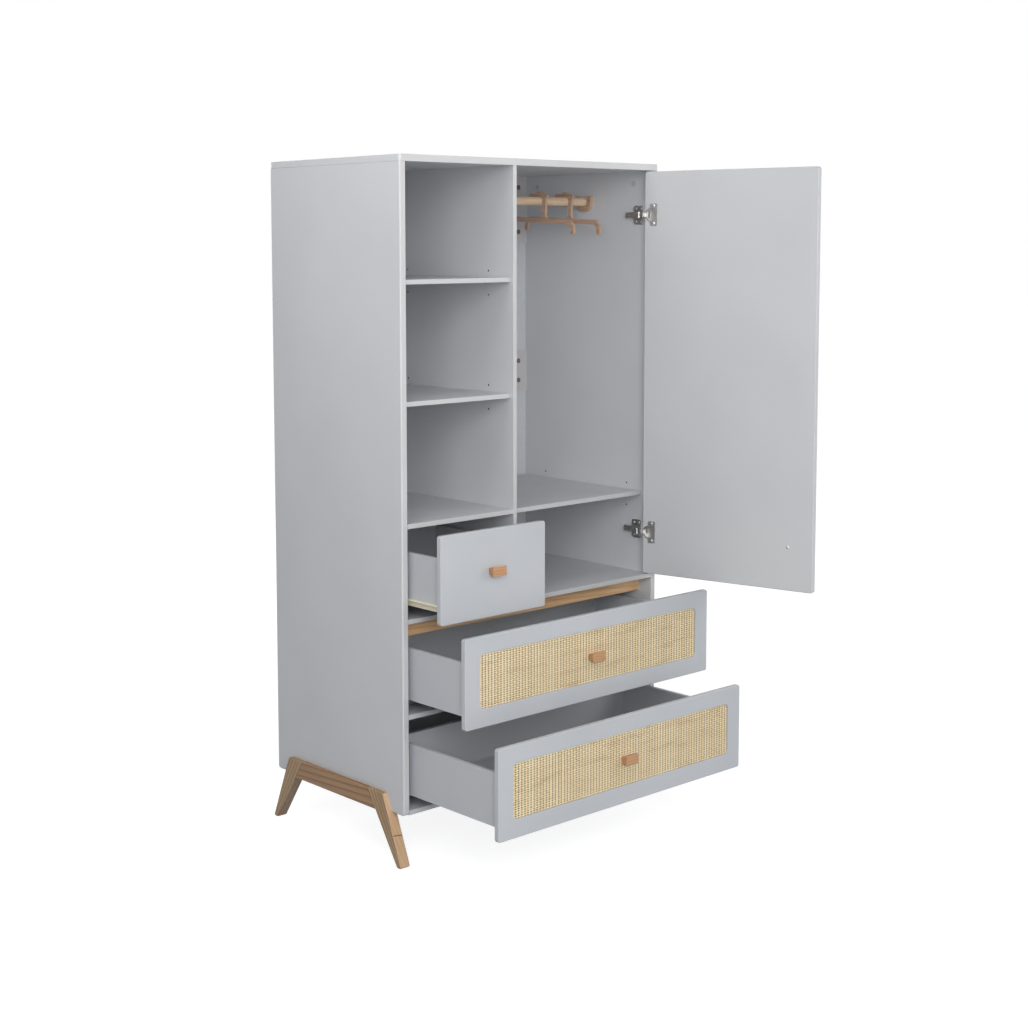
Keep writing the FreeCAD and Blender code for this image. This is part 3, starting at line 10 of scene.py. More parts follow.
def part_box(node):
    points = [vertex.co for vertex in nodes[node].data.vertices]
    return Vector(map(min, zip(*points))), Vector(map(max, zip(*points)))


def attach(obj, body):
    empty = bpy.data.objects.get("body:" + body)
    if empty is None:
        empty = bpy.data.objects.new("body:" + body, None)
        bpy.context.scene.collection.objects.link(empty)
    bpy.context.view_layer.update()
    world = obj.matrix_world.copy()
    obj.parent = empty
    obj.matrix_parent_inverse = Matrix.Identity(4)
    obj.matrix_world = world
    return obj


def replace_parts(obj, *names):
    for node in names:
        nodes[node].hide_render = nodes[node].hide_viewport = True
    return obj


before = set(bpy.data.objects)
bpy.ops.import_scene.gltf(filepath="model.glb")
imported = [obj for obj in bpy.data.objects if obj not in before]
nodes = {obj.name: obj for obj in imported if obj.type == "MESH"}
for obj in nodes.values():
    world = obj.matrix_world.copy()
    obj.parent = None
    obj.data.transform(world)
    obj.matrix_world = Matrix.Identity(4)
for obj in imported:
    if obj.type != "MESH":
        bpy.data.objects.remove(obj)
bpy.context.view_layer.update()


# Lacquered boards.
# The carcass, shelves, drawer boxes, door and fronts are board under a satin grey lacquer.
# It is sprayed, so the faces have a faint orange peel; its front edges carry painted shade, a
# little darker and warmer.
def tone(red, green, blue):
    """A colour that is written as it looks, 0 to 255, as the light it stands for."""
    parts = [value / 255 for value in (red, green, blue)]
    parts = [p / 12.92 if p <= 0.04045 else ((p + 0.055) / 1.055) ** 2.4 for p in parts]
    return (*parts, 1.0)


def start_finish(name):
    """A new finish with its shader."""
    finish = bpy.data.materials.new(name)
    finish.use_nodes = True
    tree = finish.node_tree
    return finish, tree, tree.nodes["Principled BSDF"]


def step(tree, kind, fill, **options):
    """One node of a tree: its options are set and its sockets are filled or joined."""
    made = tree.nodes.new(kind)
    for option, value in options.items():
        setattr(made, option, value)
    for socket, value in fill.items():
        if isinstance(value, bpy.types.NodeSocket):
            tree.links.new(value, made.inputs[socket])
        else:
            made.inputs[socket].default_value = value
    return made


def sums(tree, operation, first, second=0.0, third=0.0):
    """A sum on two or three values."""
    fill = {0: first, 1: second, 2: third}
    return step(tree, "ShaderNodeMath", fill, operation=operation).outputs[0]


def axes(tree, place):
    """The three parts of a place or of a direction."""
    return step(tree, "ShaderNodeSeparateXYZ", {0: place}).outputs


def object_place(tree):
    """The place on a piece, in its own axes."""
    return tree.nodes.new("ShaderNodeTexCoord").outputs["Object"]


def cloud(tree, place, scale, detail=2.0, rough=0.5):
    """Soft random variation, with so many patches to the metre."""
    fill = {"Vector": place, "Scale": scale, "Detail": detail, "Roughness": rough}
    return step(tree, "ShaderNodeTexNoise", fill).outputs[0]


def spread(tree, place, scale):
    """A place stretched or squeezed along each axis."""
    return step(tree, "ShaderNodeMapping", {"Vector": place, "Scale": scale}).outputs[0]


def streaks_of(tree, place, scale, detail, rough=0.5):
    """Soft random variation with its own number of patches to the metre along each axis."""
    return cloud(tree, spread(tree, place, scale), 1.0, detail, rough)


def between(tree, share, low, high, low_out, high_out):
    """A share between two levels, spread from one value to another."""
    fill = {"Value": share, "From Min": low, "From Max": high,
            "To Min": low_out, "To Max": high_out}
    return step(tree, "ShaderNodeMapRange", fill).outputs[0]


def blend(tree, share, first, second):
    """Two colours mixed by a share."""
    mix = step(tree, "ShaderNodeMix", {}, data_type="RGBA")
    for socket, value in ((mix.inputs[0], share), (mix.inputs[6], first), (mix.inputs[7], second)):
        if isinstance(value, bpy.types.NodeSocket):
            tree.links.new(value, socket)
        else:
            socket.default_value = value
    return mix.outputs[2]


def mottled(tree, variation, first, second):
    """Two colours in soft patches."""
    return blend(tree, between(tree, variation, *NARROW_RANGE, 0, 1), first, second)


def coat_with(tree, colour, rough):
    """Gives a finish its colour and its roughness."""
    shader = tree.nodes["Principled BSDF"]
    tree.links.new(colour, shader.inputs["Base Color"])
    tree.links.new(rough, shader.inputs["Roughness"])


def coat_over(tree, share, colour):
    """Lays one more colour over a finish, by a share."""
    shader = tree.nodes["Principled BSDF"]
    under = shader.inputs["Base Color"].links[0].from_socket
    tree.links.new(blend(tree, share, under, colour), shader.inputs["Base Color"])


def raise_bumps(tree, shader, height, distance, strength=0.5):
    """Small relief on the finish, with its depth in metres."""
    fill = {"Height": height, "Distance": distance, "Strength": strength}
    tree.links.new(step(tree, "ShaderNodeBump", fill).outputs[0], shader.inputs["Normal"])


def wear(name, finish):
    """Gives a finish to every slot of a carried-over node."""
    slots = nodes[name].material_slots
    if not slots:
        nodes[name].data.materials.append(finish)
    for slot in slots:
        slot.material = finish


WIDE_RANGE = (0.3, 0.7)
NARROW_RANGE = (0.35, 0.65)
FRONT_FACING = (0.75, 0.95)
FRONT_PAINTED_SHADE = tone(187, 184, 182)
LACQUER_PATCHES = 3.0
SPECKS = 420.0
SPECK_RANGE = (0.74, 0.8)
SPECK_SHARE = 0.05
SPECK_TONE = tone(150, 152, 156)
SHEEN_PATCHES = 11.0
LACQUER_ROUGH = (0.36, 0.47)
FINE_PEEL = 900.0
FINE_PEEL_SHARE = 0.35
COARSE_PEEL = 160.0
PEEL_DEPTH = 0.00006


def lacquered(name, light, deep, front_shade_share=0.0):
    """A sprayed satin lacquer: cloudy tone, orange peel, and painted shade on faces to the front.
    """
    finish, tree, shader = start_finish(name)
    spot = tree.nodes.new("ShaderNodeTexCoord").outputs
    place = spot["Object"]
    coat = mottled(tree, cloud(tree, place, LACQUER_PATCHES), deep, light)
    # Painted shade: faces that look to the front are darkened towards a warm grey, by a share.
    to_front = sums(tree, "MULTIPLY", axes(tree, spot["Normal"])["Y"], -1.0)
    coat = blend(tree, between(tree, to_front, *FRONT_FACING, 0, front_shade_share), coat, FRONT_PAINTED_SHADE)
    specks = between(tree, cloud(tree, place, SPECKS), *SPECK_RANGE, 0.0, SPECK_SHARE)
    sheen = cloud(tree, place, SHEEN_PATCHES, detail=4.0)
    coat_with(tree, blend(tree, specks, coat, SPECK_TONE),
              between(tree, sheen, *WIDE_RANGE, *LACQUER_ROUGH))
    fine = cloud(tree, place, FINE_PEEL, detail=1.0)
    coarse = cloud(tree, place, COARSE_PEEL, detail=1.0)
    raise_bumps(tree, shader, sums(tree, "MULTIPLY_ADD", fine, FINE_PEEL_SHARE, coarse), PEEL_DEPTH)
    return finish


lacquer = lacquered("grey satin lacquer", tone(202, 203, 206), tone(197, 199, 202),
                    front_shade_share=0.5)
for name in ("top_panel", "left_side_panel", "right_side_panel", "centre_divider", "middle_floor",
             "small_drawer_ceiling", "bottom_panel", "cross_rail", "rear_rails", "left_shelves",
             "right_shelf"):
    wear(name, lacquer)


# Drilled holes.
# Holes for pins and fittings are drilled through the lacquer, so raw brown board shows in them.
# Only the wall of a hole lies both deeper than the lacquer and away from the rims of its board.
HOLE_SUNK = 0.0003
HOLE_INSET = 0.012
BOARD_DUST = 1400.0
BOARD_ROUGH = (0.8, 0.92)


def drilled(name):
    """The lacquer of a drilled board, with raw board inside its holes."""
    finish = lacquer.copy()
    finish.name = "drilled " + name
    tree = finish.node_tree
    place = object_place(tree)
    parts = axes(tree, place)
    low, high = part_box(name)
    in_hole = 1.0
    for axis, margin in enumerate((HOLE_SUNK, HOLE_INSET, HOLE_INSET)):
        past_low = sums(tree, "GREATER_THAN", parts[axis], low[axis] + margin)
        past_high = sums(tree, "LESS_THAN", parts[axis], high[axis] - margin)
        in_hole = sums(tree, "MULTIPLY", sums(tree, "MULTIPLY", past_low, past_high), in_hole)
    dust = cloud(tree, place, BOARD_DUST, detail=3.0)
    coat_over(tree, in_hole, blend(tree, dust, tone(96, 76, 62), tone(70, 54, 44)))
    rough = tree.nodes["Principled BSDF"].inputs["Roughness"]
    dull = sums(tree, "MULTIPLY", between(tree, dust, *WIDE_RANGE, *BOARD_ROUGH), in_hole)
    tree.links.new(sums(tree, "MAXIMUM", rough.links[0].from_socket, dull), rough)
    return finish


for name in ("left_side_panel", "right_side_panel", "centre_divider"):
    wear(name, drilled(name))


# Back sheets.
# Thin fibreboard slid into grooves behind the bays, printed to match the lacquer.
# The print is flatter and a little cooler, with the pressed fibres just showing.
SHEET_FIBRES = (220.0, 220.0, 90.0)
SHEET_ROUGH = (0.5, 0.62)
SHEET_RELIEF = 0.00008

printed_sheet, tree, shader = start_finish("printed back sheet")
fibres = streaks_of(tree, object_place(tree), SHEET_FIBRES, detail=3.0)
coat_with(tree, mottled(tree, fibres, tone(193, 196, 200), tone(199, 202, 205)),
          between(tree, fibres, *WIDE_RANGE, *SHEET_ROUGH))
raise_bumps(tree, shader, fibres, SHEET_RELIEF)
wear("back_sheets", printed_sheet)


# Front stretcher.
# A strip of solid oak below the middle floor, oiled, with its grain running from side to side.
# Grain is made once here, for a piece whose length lies along the first axis of its grain place.
GROWTH_STRETCH = (0.05, 1.0, 1.0)
FIBRES = (9.0, 620.0, 620.0)
PATCHES = (3.0, 22.0, 22.0)
PORES = (55.0, 1300.0, 1300.0)
PATCHES_SHOW = (0.35, 0.7, 0, 0.4)
FIBRES_SHOW = (0.42, 0.72, 0, 0.5)
PORES_SHOW = (0.66, 0.74, 0, 0.5)
PORE_SINK = 0.5
WOOD_RELIEF = 0.00025


def wooden(name, tones, grain, rings, swirl, rough=(0.42, 0.56), line=0.55):
    """An oiled wood: thin dark growth lines, fine fibres along them and short open pores."""
    finish, tree, shader = start_finish(name)
    pale, deep, streak = (tone(*colour) for colour in tones)
    place = grain(tree)
    fill = {"Vector": spread(tree, place, GROWTH_STRETCH), "Scale": rings, "Distortion": swirl,
            "Detail": 2.5, "Detail Scale": 0.5, "Detail Roughness": 0.55}
    bands = step(tree, "ShaderNodeTexWave", fill, wave_type="BANDS", bands_direction="DIAGONAL",
                 wave_profile="SAW").outputs[1]
    fibres = streaks_of(tree, place, FIBRES, detail=3.0, rough=0.6)
    patches = streaks_of(tree, place, PATCHES, detail=2.0)
    pores = streaks_of(tree, place, PORES, detail=1.0)
    wood = blend(tree, between(tree, bands, line, 1.0, 0, 1), pale, deep)
    wood = blend(tree, between(tree, patches, *PATCHES_SHOW), wood, deep)
    wood = blend(tree, between(tree, fibres, *FIBRES_SHOW), wood, streak)
    wood = blend(tree, between(tree, pores, *PORES_SHOW), wood, streak)
    coat_with(tree, wood, between(tree, fibres, *WIDE_RANGE, *rough))
    relief = sums(tree, "SUBTRACT", fibres, sums(tree, "MULTIPLY", pores, PORE_SINK))
    raise_bumps(tree, shader, relief, WOOD_RELIEF, strength=0.6)
    return finish


oak = wooden("oiled oak", ((232, 194, 150), (206, 160, 112), (170, 124, 80)), object_place,
             rings=46.0, swirl=4.0)
wear("front_stretcher", oak)


# Legs and leg rails.
# Each end has two splayed, tapered legs of mid-brown ash, lapped on the side and joined by a rail.
# The legs are sawn so that the grain follows their slope; a glued joint shows as a dark line.
LEG_SLOPE = 0.52
REAR_LEG_SHIFT = 0.37
END_AND_SHADE_FACING = (0.45, 0.8)
END_AND_SHADE_SHARE = 0.6
GLUE_HEIGHT = 0.0238
GLUE_SLANT = -0.12
GLUE_WAVES = 60.0
GLUE_WOBBLE = 0.004
GLUE_EDGE = (0.0006, 0.0020)
GLUE_SHOWS = (0.6, 0.8, 0, 0.85)


def grain_along_leg(tree):
    """The place along a leg, then across it, for legs that lean forwards and backwards alike."""
    parts = axes(tree, object_place(tree))
    reach = sums(tree, "ABSOLUTE", parts["Y"])
    across = sums(tree, "MULTIPLY_ADD", parts["Z"], LEG_SLOPE, reach)
    along = sums(tree, "MULTIPLY_ADD", sums(tree, "SIGN", parts["Y"]), REAR_LEG_SHIFT, parts["Z"])
    return step(tree, "ShaderNodeCombineXYZ", {0: along, 1: across, 2: parts["X"]}).outputs[0]


def grain_along_y(tree):
    """The place with its Y first, for pieces that run from front to back."""
    parts = axes(tree, object_place(tree))
    fill = {0: parts["Y"], 1: parts["Z"], 2: parts["X"]}
    return step(tree, "ShaderNodeCombineXYZ", fill).outputs[0]


def outer_end(tree):
    """How far a face looks to the front on the front legs, or to the rear on the rear legs."""
    spot = tree.nodes.new("ShaderNodeTexCoord").outputs
    side = sums(tree, "SIGN", axes(tree, spot["Object"])["Y"])
    return sums(tree, "MULTIPLY", axes(tree, spot["Normal"])["Y"], side)


leg_ash = wooden("oiled ash, legs", ((180, 154, 116), (130, 96, 66), (114, 86, 60)),
                 grain_along_leg, rings=50.0, swirl=1.4, line=0.42)
tree = leg_ash.node_tree
# Outer end faces are paler; inner end faces, which look in under the carcass, get painted shade in
# dark brown.
for side, colour in ((1.0, tone(216, 178, 142)), (-1.0, tone(78, 54, 36))):
    turned = sums(tree, "MULTIPLY", outer_end(tree), side)
    coat_over(tree, between(tree, turned, *END_AND_SHADE_FACING, 0, END_AND_SHADE_SHARE), colour)
place = object_place(tree)
parts = axes(tree, place)
slant = sums(tree, "MULTIPLY_ADD", sums(tree, "ABSOLUTE", parts["X"]), GLUE_SLANT, parts["Z"])
wobble = sums(tree, "MULTIPLY", cloud(tree, place, GLUE_WAVES), GLUE_WOBBLE)
off_line = sums(tree, "SUBTRACT", sums(tree, "ADD", slant, wobble), GLUE_HEIGHT)
glue = between(tree, sums(tree, "ABSOLUTE", off_line), *GLUE_EDGE, 1.0, 0.0)
on_end = between(tree, outer_end(tree), *GLUE_SHOWS)
coat_over(tree, sums(tree, "MULTIPLY", glue, on_end), tone(92, 62, 42))
wear("legs", leg_ash)
rail_ash = wooden("oiled ash, rails", ((162, 128, 90), (118, 79, 51), (104, 73, 50)),
                  grain_along_y, rings=38.0, swirl=2.6, line=0.5)
wear("leg_rails", rail_ash)


# Hanging rod, rod sockets and hangers.
# The rod is a turned pine pole; the sockets and the flat hangers are sawn from plywood.
# On the cut edges of the plywood its layers show as thin lines, light and dark in turn.
PLY_THICKNESS = 0.0015
PLY_LINE = (0.0006, 0.0009, 0.0, 0.55)
CUT_EDGE = (0.5, 0.7, 1.0, 0.0)
CUT_EDGE_SHARE = 0.7

pine = wooden("sanded pine", ((228, 202, 174), (212, 180, 148), (186, 148, 114)), object_place,
              rings=55.0, swirl=2.5)
wear("hanging_rod", pine)
plywood = wooden("sanded plywood", ((192, 160, 138), (176, 142, 120), (146, 112, 92)),
                 grain_along_y, rings=40.0, swirl=2.0, rough=(0.5, 0.62))
tree = plywood.node_tree
spot = tree.nodes.new("ShaderNodeTexCoord").outputs
sideways = sums(tree, "ABSOLUTE", axes(tree, spot["Normal"])["X"])
cut_edge = between(tree, sideways, *CUT_EDGE)
coat_over(tree, sums(tree, "MULTIPLY", cut_edge, CUT_EDGE_SHARE), tone(212, 182, 152))
ply = sums(tree, "PINGPONG", axes(tree, spot["Object"])["X"], PLY_THICKNESS)
dark_ply = sums(tree, "MULTIPLY", between(tree, ply, *PLY_LINE), cut_edge)
coat_over(tree, dark_ply, tone(150, 114, 88))
for name in ("rod_sockets", "first_hanger", "second_hanger"):
    wear(name, plywood)


# Metal and plastic fittings.
# The hinges are nickel-plated; shelf pins, screws and the wide drawers' runners are zinc-plated.
# Cams have moulded pale caps, with painted shade in dark brown on those at the rear; the small
# runners are cream-coated, on nylon rollers.
METAL_PATCHES = 140.0
PATCH_RANGE = (0.35, 0.7)
PATCH_ROUGH = 0.16
DRAWN_ROUGH = 0.12
SMOOTH_RELIEF = 0.00004
CAP_GRAIN = 500.0
CAP_SOILING = 0.3
REAR_CAMS_FROM = 0.235
CREAM_GRAIN = 1600.0
CREAM_PATCHES = 14.0
CREAM_RELIEF = 0.00006
NYLON_GRAIN = 700.0


def plated(name, bright, dull, rough, lines):
    """A plated metal with fine drawing lines and duller patches."""
    finish, tree, shader = start_finish(name)
    place = object_place(tree)
    drawn = streaks_of(tree, place, lines, detail=3.0)
    patches = cloud(tree, place, METAL_PATCHES, detail=3.0)
    drawn_rough = between(tree, drawn, *WIDE_RANGE, rough, rough + DRAWN_ROUGH)
    coat_with(tree, blend(tree, between(tree, patches, *PATCH_RANGE, 0, 1), bright, dull),
              sums(tree, "MULTIPLY_ADD", patches, PATCH_ROUGH, drawn_rough))
    shader.inputs["Metallic"].default_value = 1.0
    raise_bumps(tree, shader, drawn, SMOOTH_RELIEF)
    return finish


def skinned(name, grain, rough, relief=SMOOTH_RELIEF, strength=0.5):
    """A finish with an even, finely grained skin, which still waits for its colour."""
    finish, tree, shader = start_finish(name)
    place = object_place(tree)
    skin = cloud(tree, place, grain)
    tree.links.new(between(tree, skin, *WIDE_RANGE, *rough), shader.inputs["Roughness"])
    raise_bumps(tree, shader, skin, relief, strength)
    return finish, tree, shader.inputs["Base Color"], place, skin


nickel = plated("satin nickel", tone(206, 205, 202), tone(176, 175, 172), rough=0.26,
                lines=(300.0, 300.0, 2200.0))
for name in ("hinge_plates", "hinge_arms", "hinge_arm_pins", "hinge_links", "hinge_cups",
             "hinge_cup_pins"):
    wear(name, nickel)
zinc = plated("bright zinc", tone(196, 199, 204), tone(166, 170, 176), rough=0.3,
              lines=(1500.0, 60.0, 1500.0))
for name in ("shelf_pins", "socket_screws", "hinge_plate_screws", "hinge_cup_screws",
             "door_knob_screw", "small_drawer_knob_screw", "upper_drawer_knob_screw",
             "lower_drawer_knob_screw", "wide_cabinet_runners", "upper_drawer_runners",
             "upper_middle_runners", "lower_drawer_runners", "lower_middle_runners"):
    wear(name, zinc)
cam_caps, tree, colour, place, skin = skinned("cam caps", CAP_GRAIN, rough=(0.34, 0.46))
# Painted shade: the cams on the rear rails, at the back of the carcass, are darkened to brown.
rear_shade = sums(tree, "GREATER_THAN", axes(tree, place)["Y"], REAR_CAMS_FROM)
cap_tone_and_shade = blend(tree, rear_shade, tone(186, 187, 186), tone(112, 92, 84))
soiling = sums(tree, "MULTIPLY", skin, CAP_SOILING)
tree.links.new(blend(tree, soiling, cap_tone_and_shade, tone(140, 132, 126)), colour)
wear("cam_locks", cam_caps)
cream, tree, colour, place, skin = skinned("cream powder coat", CREAM_GRAIN, rough=(0.4, 0.52),
                                           relief=CREAM_RELIEF, strength=0.6)
patches = cloud(tree, place, CREAM_PATCHES)
tree.links.new(mottled(tree, patches, tone(232, 226, 204), tone(224, 217, 192)), colour)
wear("small_cabinet_runners", cream)
wear("small_drawer_runners", cream)
nylon, tree, colour, place, skin = skinned("white nylon", NYLON_GRAIN, rough=(0.38, 0.5))
tree.links.new(blend(tree, skin, tone(226, 224, 214), tone(236, 235, 227)), colour)
wear("small_front_rollers", nylon)
wear("small_rear_rollers", nylon)


# Screws.
# Round-headed steel screws with a cross recess hold the hinges, the rod's sockets and the knobs.
# They are cold-headed in one blow, so the head is domed a little and the recess has crisp corners.
SCREW = {"Head Radius": 0.0042, "Head Height": 0.0024, "Dome": 0.0009, "Shank Radius": 0.0020,
         "Recess Length": 0.0050, "Recess Width": 0.0011, "Recess Depth": 0.0013}
HEAD_SEGMENTS = 28
HEAD_RINGS = 3
SHANK_SEGMENTS = 16
SAME_CORNER = 0.000001
HEAD_RIM_SHARE = 0.9


def open_tree(name, sizes, counts=()):
    """A new shape's tree, with a socket for its base, each size, each count and its finish."""
    tree = bpy.data.node_groups.new(name, "GeometryNodeTree")
    face = tree.interface
    face.new_socket("Geometry", in_out="INPUT", socket_type="NodeSocketGeometry")
    for kind, labels in (("NodeSocketFloat", sizes), ("NodeSocketInt", counts)):
        for label in labels:
            face.new_socket(label, in_out="INPUT", socket_type=kind)
    face.new_socket("Finish", in_out="INPUT", socket_type="NodeSocketMaterial")
    face.new_socket("Geometry", in_out="OUTPUT", socket_type="NodeSocketGeometry")
    return tree, tree.nodes.new("NodeGroupInput").outputs


def close_tree(tree, shape, finish):
    """Hands a shape out of its tree as one plain mesh in its finish."""
    real = step(tree, "GeometryNodeRealizeInstances", {"Geometry": shape}).outputs[0]
    dressed = step(tree, "GeometryNodeSetMaterial", {"Geometry": real, "Material": finish})
    tree.links.new(dressed.outputs[0], tree.nodes.new("NodeGroupOutput").inputs[0])


def screw_tree():
    """The tree that sets a screw with a recessed head on each point, along the way it faces."""
    tree, given = open_tree("screws", ("Shank Length", *SCREW))
    add, figure = partial(step, tree), partial(sums, tree)

    def lowered(shape, drop):
        """A shape moved down by an amount."""
        offset = add("ShaderNodeCombineXYZ", {2: figure("MULTIPLY", drop, -1.0)}).outputs[0]
        moved = add("GeometryNodeTransform", {"Geometry": shape, "Translation": offset})
        return moved.outputs[0]

    blank = add("GeometryNodeMeshCylinder",
                {"Vertices": HEAD_SEGMENTS, "Side Segments": 1, "Fill Segments": HEAD_RINGS,
                 "Radius": given["Head Radius"], "Depth": given["Head Height"]},
                fill_type="TRIANGLE_FAN").outputs["Mesh"]
    spot = axes(tree, add("GeometryNodeInputPosition", {}).outputs[0])
    squares = figure("MULTIPLY", spot[0], spot[0]), figure("MULTIPLY", spot[1], spot[1])
    full_square = figure("MULTIPLY", given["Head Radius"], given["Head Radius"])
    share = figure("DIVIDE", figure("ADD", *squares), full_square)
    on_top = figure("MULTIPLY", share, figure("GREATER_THAN", spot[2], 0.0))
    sink = figure("MULTIPLY", on_top, figure("MULTIPLY", given["Dome"], -1.0))
    offset = add("ShaderNodeCombineXYZ", {2: sink}).outputs[0]
    domed = add("GeometryNodeSetPosition", {"Geometry": blank, "Offset": offset}).outputs[0]
    head = lowered(domed, figure("MULTIPLY", given["Head Height"], 0.5))
    recess = tree.nodes.new("GeometryNodeJoinGeometry")
    deep = figure("MULTIPLY", given["Recess Depth"], 2.0)
    for long_side, short_side in ((0, 1), (1, 0)):
        size = add("ShaderNodeCombineXYZ", {long_side: given["Recess Length"],
                                            short_side: given["Recess Width"], 2: deep}).outputs[0]
        slot = add("GeometryNodeMeshCube", {"Size": size}).outputs["Mesh"]
        tree.links.new(slot, recess.inputs[0])
    cut = add("GeometryNodeMeshBoolean", {"Mesh 1": head, "Self Intersection": True},
              operation="DIFFERENCE", solver="EXACT")
    tree.links.new(recess.outputs[0], cut.inputs["Mesh 2"])
    shank = add("GeometryNodeMeshCylinder",
                {"Vertices": SHANK_SEGMENTS, "Radius": given["Shank Radius"],
                 "Depth": given["Shank Length"]}).outputs["Mesh"]
    drop = figure("MULTIPLY_ADD", given["Shank Length"], 0.5, given["Head Height"])
    whole = tree.nodes.new("GeometryNodeJoinGeometry")
    tree.links.new(lowered(shank, drop), whole.inputs[0])
    tree.links.new(cut.outputs[0], whole.inputs[0])
    facing = add("GeometryNodeInputNamedAttribute", {"Name": "facing"}, data_type="FLOAT_VECTOR")
    turn = add("FunctionNodeAlignRotationToVector", {"Vector": facing.outputs[0]}, axis="Z")
    placed = add("GeometryNodeInstanceOnPoints",
                 {"Points": given["Geometry"], "Instance": whole.outputs[0],
                  "Rotation": turn.outputs[0]})
    close_tree(tree, placed.outputs[0], given["Finish"])
    return tree


def screw_seats(node):
    """For each screw of a node: the middle of its head's top, the way it faces, and its length."""
    work = bmesh.new()
    work.from_mesh(nodes[node].data)
    bmesh.ops.remove_doubles(work, verts=work.verts, dist=SAME_CORNER)
    work.verts.index_update()
    unseen = set(work.verts)
    seats = []
    for first in work.verts:
        if first not in unseen:
            continue
        unseen.remove(first)
        found, waiting = [], [first]
        while waiting:
            corner = waiting.pop()
            found.append(corner)
            near = {edge.other_vert(corner) for edge in corner.link_edges} & unseen
            unseen -= near
            waiting.extend(near)
        found.sort(key=lambda corner: corner.index)
        points = numpy.array([corner.co for corner in found])
        middle = points.mean(0)
        axis = numpy.linalg.svd(points - middle)[2][0]
        along = (points - middle) @ axis
        aside = numpy.linalg.norm(points - middle - numpy.outer(along, axis), axis=1)
        if along[aside > aside.max() * HEAD_RIM_SHARE].mean() < 0.0:
            axis, along = -axis, -along
        length = float(along.max() - along.min())
        seats.append((Vector(middle + axis * along.max()), Vector(axis), length))
    work.free()
    return seats


def grown(name, tree, sizes, base=None):
    """Runs a shape's tree with its sizes, on a base where it has one, and returns the mesh."""
    holder = bpy.data.objects.new(name + "_holder", base or bpy.data.meshes.new(name + "_holder"))
    bpy.context.scene.collection.objects.link(holder)
    growth = holder.modifiers.new("growth", "NODES")
    growth.node_group = tree
    sockets = {s.name: s.identifier for s in tree.interface.items_tree if s.in_out == "INPUT"}
    for size, value in sizes.items():
        growth[sockets[size]] = value
    bpy.context.view_layer.update()
    seen = holder.evaluated_get(bpy.context.evaluated_depsgraph_get())
    mesh = bpy.data.meshes.new_from_object(seen)
    holder.modifiers.remove(growth)
    bpy.data.objects.remove(holder)
    mesh.name = name
    return mesh


def shown(name, mesh, body):
    """Puts a finished mesh in the scene as a piece that rides on a body."""
    piece = bpy.data.objects.new(name, mesh)
    bpy.context.scene.collection.objects.link(piece)
    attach(piece, body)
    return piece


def outward(mesh):
    """Turns every closed piece of a mesh so that its faces point outwards."""
    work = bmesh.new()
    work.from_mesh(mesh)
    bmesh.ops.recalc_face_normals(work, faces=work.faces)
    work.to_mesh(mesh)
    work.free()


screws = screw_tree()
for node, body in (("hinge_plate_screws", "carcass"), ("socket_screws", "carcass"),
                   ("hinge_cup_screws", "door"), ("door_knob_screw", "door"),
                   ("small_drawer_knob_screw", "small_drawer"),
                   ("upper_drawer_knob_screw", "upper_drawer"),
                   ("lower_drawer_knob_screw", "lower_drawer")):
    seats = screw_seats(node)
    base = bpy.data.meshes.new(node + "_seats")
    base.from_pydata([seat[0] for seat in seats], [], [])
    facings = base.attributes.new("facing", "FLOAT_VECTOR", "POINT")
    for point, seat in zip(facings.data, seats):
        point.vector = seat[1]
    shank_length = seats[0][2] - SCREW["Head Height"]
    mesh = grown(node + "_turned", screws,
                 {**SCREW, "Shank Length": shank_length, "Finish": zinc}, base)
    outward(mesh)
    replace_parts(shown(node + "_turned", mesh, body), node)


# Door and its knob.
# The door is one lacquered board on two concealed hinges; its knob is a block of reddish wood.
# All knobs are alike: planed blocks that widen towards the hand, oiled, grain from side to side.
door_lacquer = lacquered("door lacquer", tone(196, 197, 199), tone(192, 193, 196))
wear("door_panel", door_lacquer)
knob_wood = wooden("oiled reddish wood", ((192, 148, 108), (174, 126, 86), (140, 96, 62)),
                   object_place, rings=80.0, swirl=1.5, rough=(0.4, 0.52))
for name in ("door_knob", "small_drawer_knob", "upper_drawer_knob", "lower_drawer_knob"):
    wear(name, knob_wood)


# Drawer fronts and drawer boxes.
# The fronts are lacquered board with soft edges, a shade deeper than the carcass.
# The boxes behind them have the same finish.
front_lacquer = lacquered("front lacquer", tone(186, 188, 192), tone(181, 184, 188))
for drawer in ("small_drawer", "upper_drawer", "lower_drawer"):
    for piece in ("_front", "_walls", "_bottom"):
        wear(drawer + piece, front_lacquer)


# Woven cane of the wide drawers.
# Flat strips stand upright and thinner strands run across, over one strip and under the next.
# The weave sits in the recess of the front, over a dark sheet of painted shade, so its holes look
# dark.
CANE = {"Corner Radius": 0.0135, "Strip Pitch": 0.01045, "Strip Width": 0.0064,
        "Strand Pitch": 0.0058, "Strand Width": 0.0029, "Thickness": 0.00045, "Rise": 0.00032}
UPRIGHT_STREAKS = (1500.0, 1500.0, 30.0)
LEVEL_STREAKS = (30.0, 1500.0, 1500.0)
STREAKS_SHOW = (0.4, 0.75, 0.0, 0.5)
BROWN_RUNS = (9.0, 60.0, 55.0)
BROWN_RUNS_SHOW = (0.52, 0.74, 0.0, 0.4)
FLECKS = (90.0, 400.0, 300.0)
FLECKS_SHOW = (0.64, 0.74, 0.0, 0.55)
LEVEL_PAINTED_LIGHT = 0.6
CANE_ROUGH = (0.4, 0.6)
CANE_RELIEF = 0.0002
HOLE_SHADE_MOTTLE = 900.0
HOLE_SHADE_ROUGH = 0.85
HOLE_SHADE_THICKNESS = 0.0004
STEPS_TO_A_CROSSING = 4
CORNER_SLICES = 6

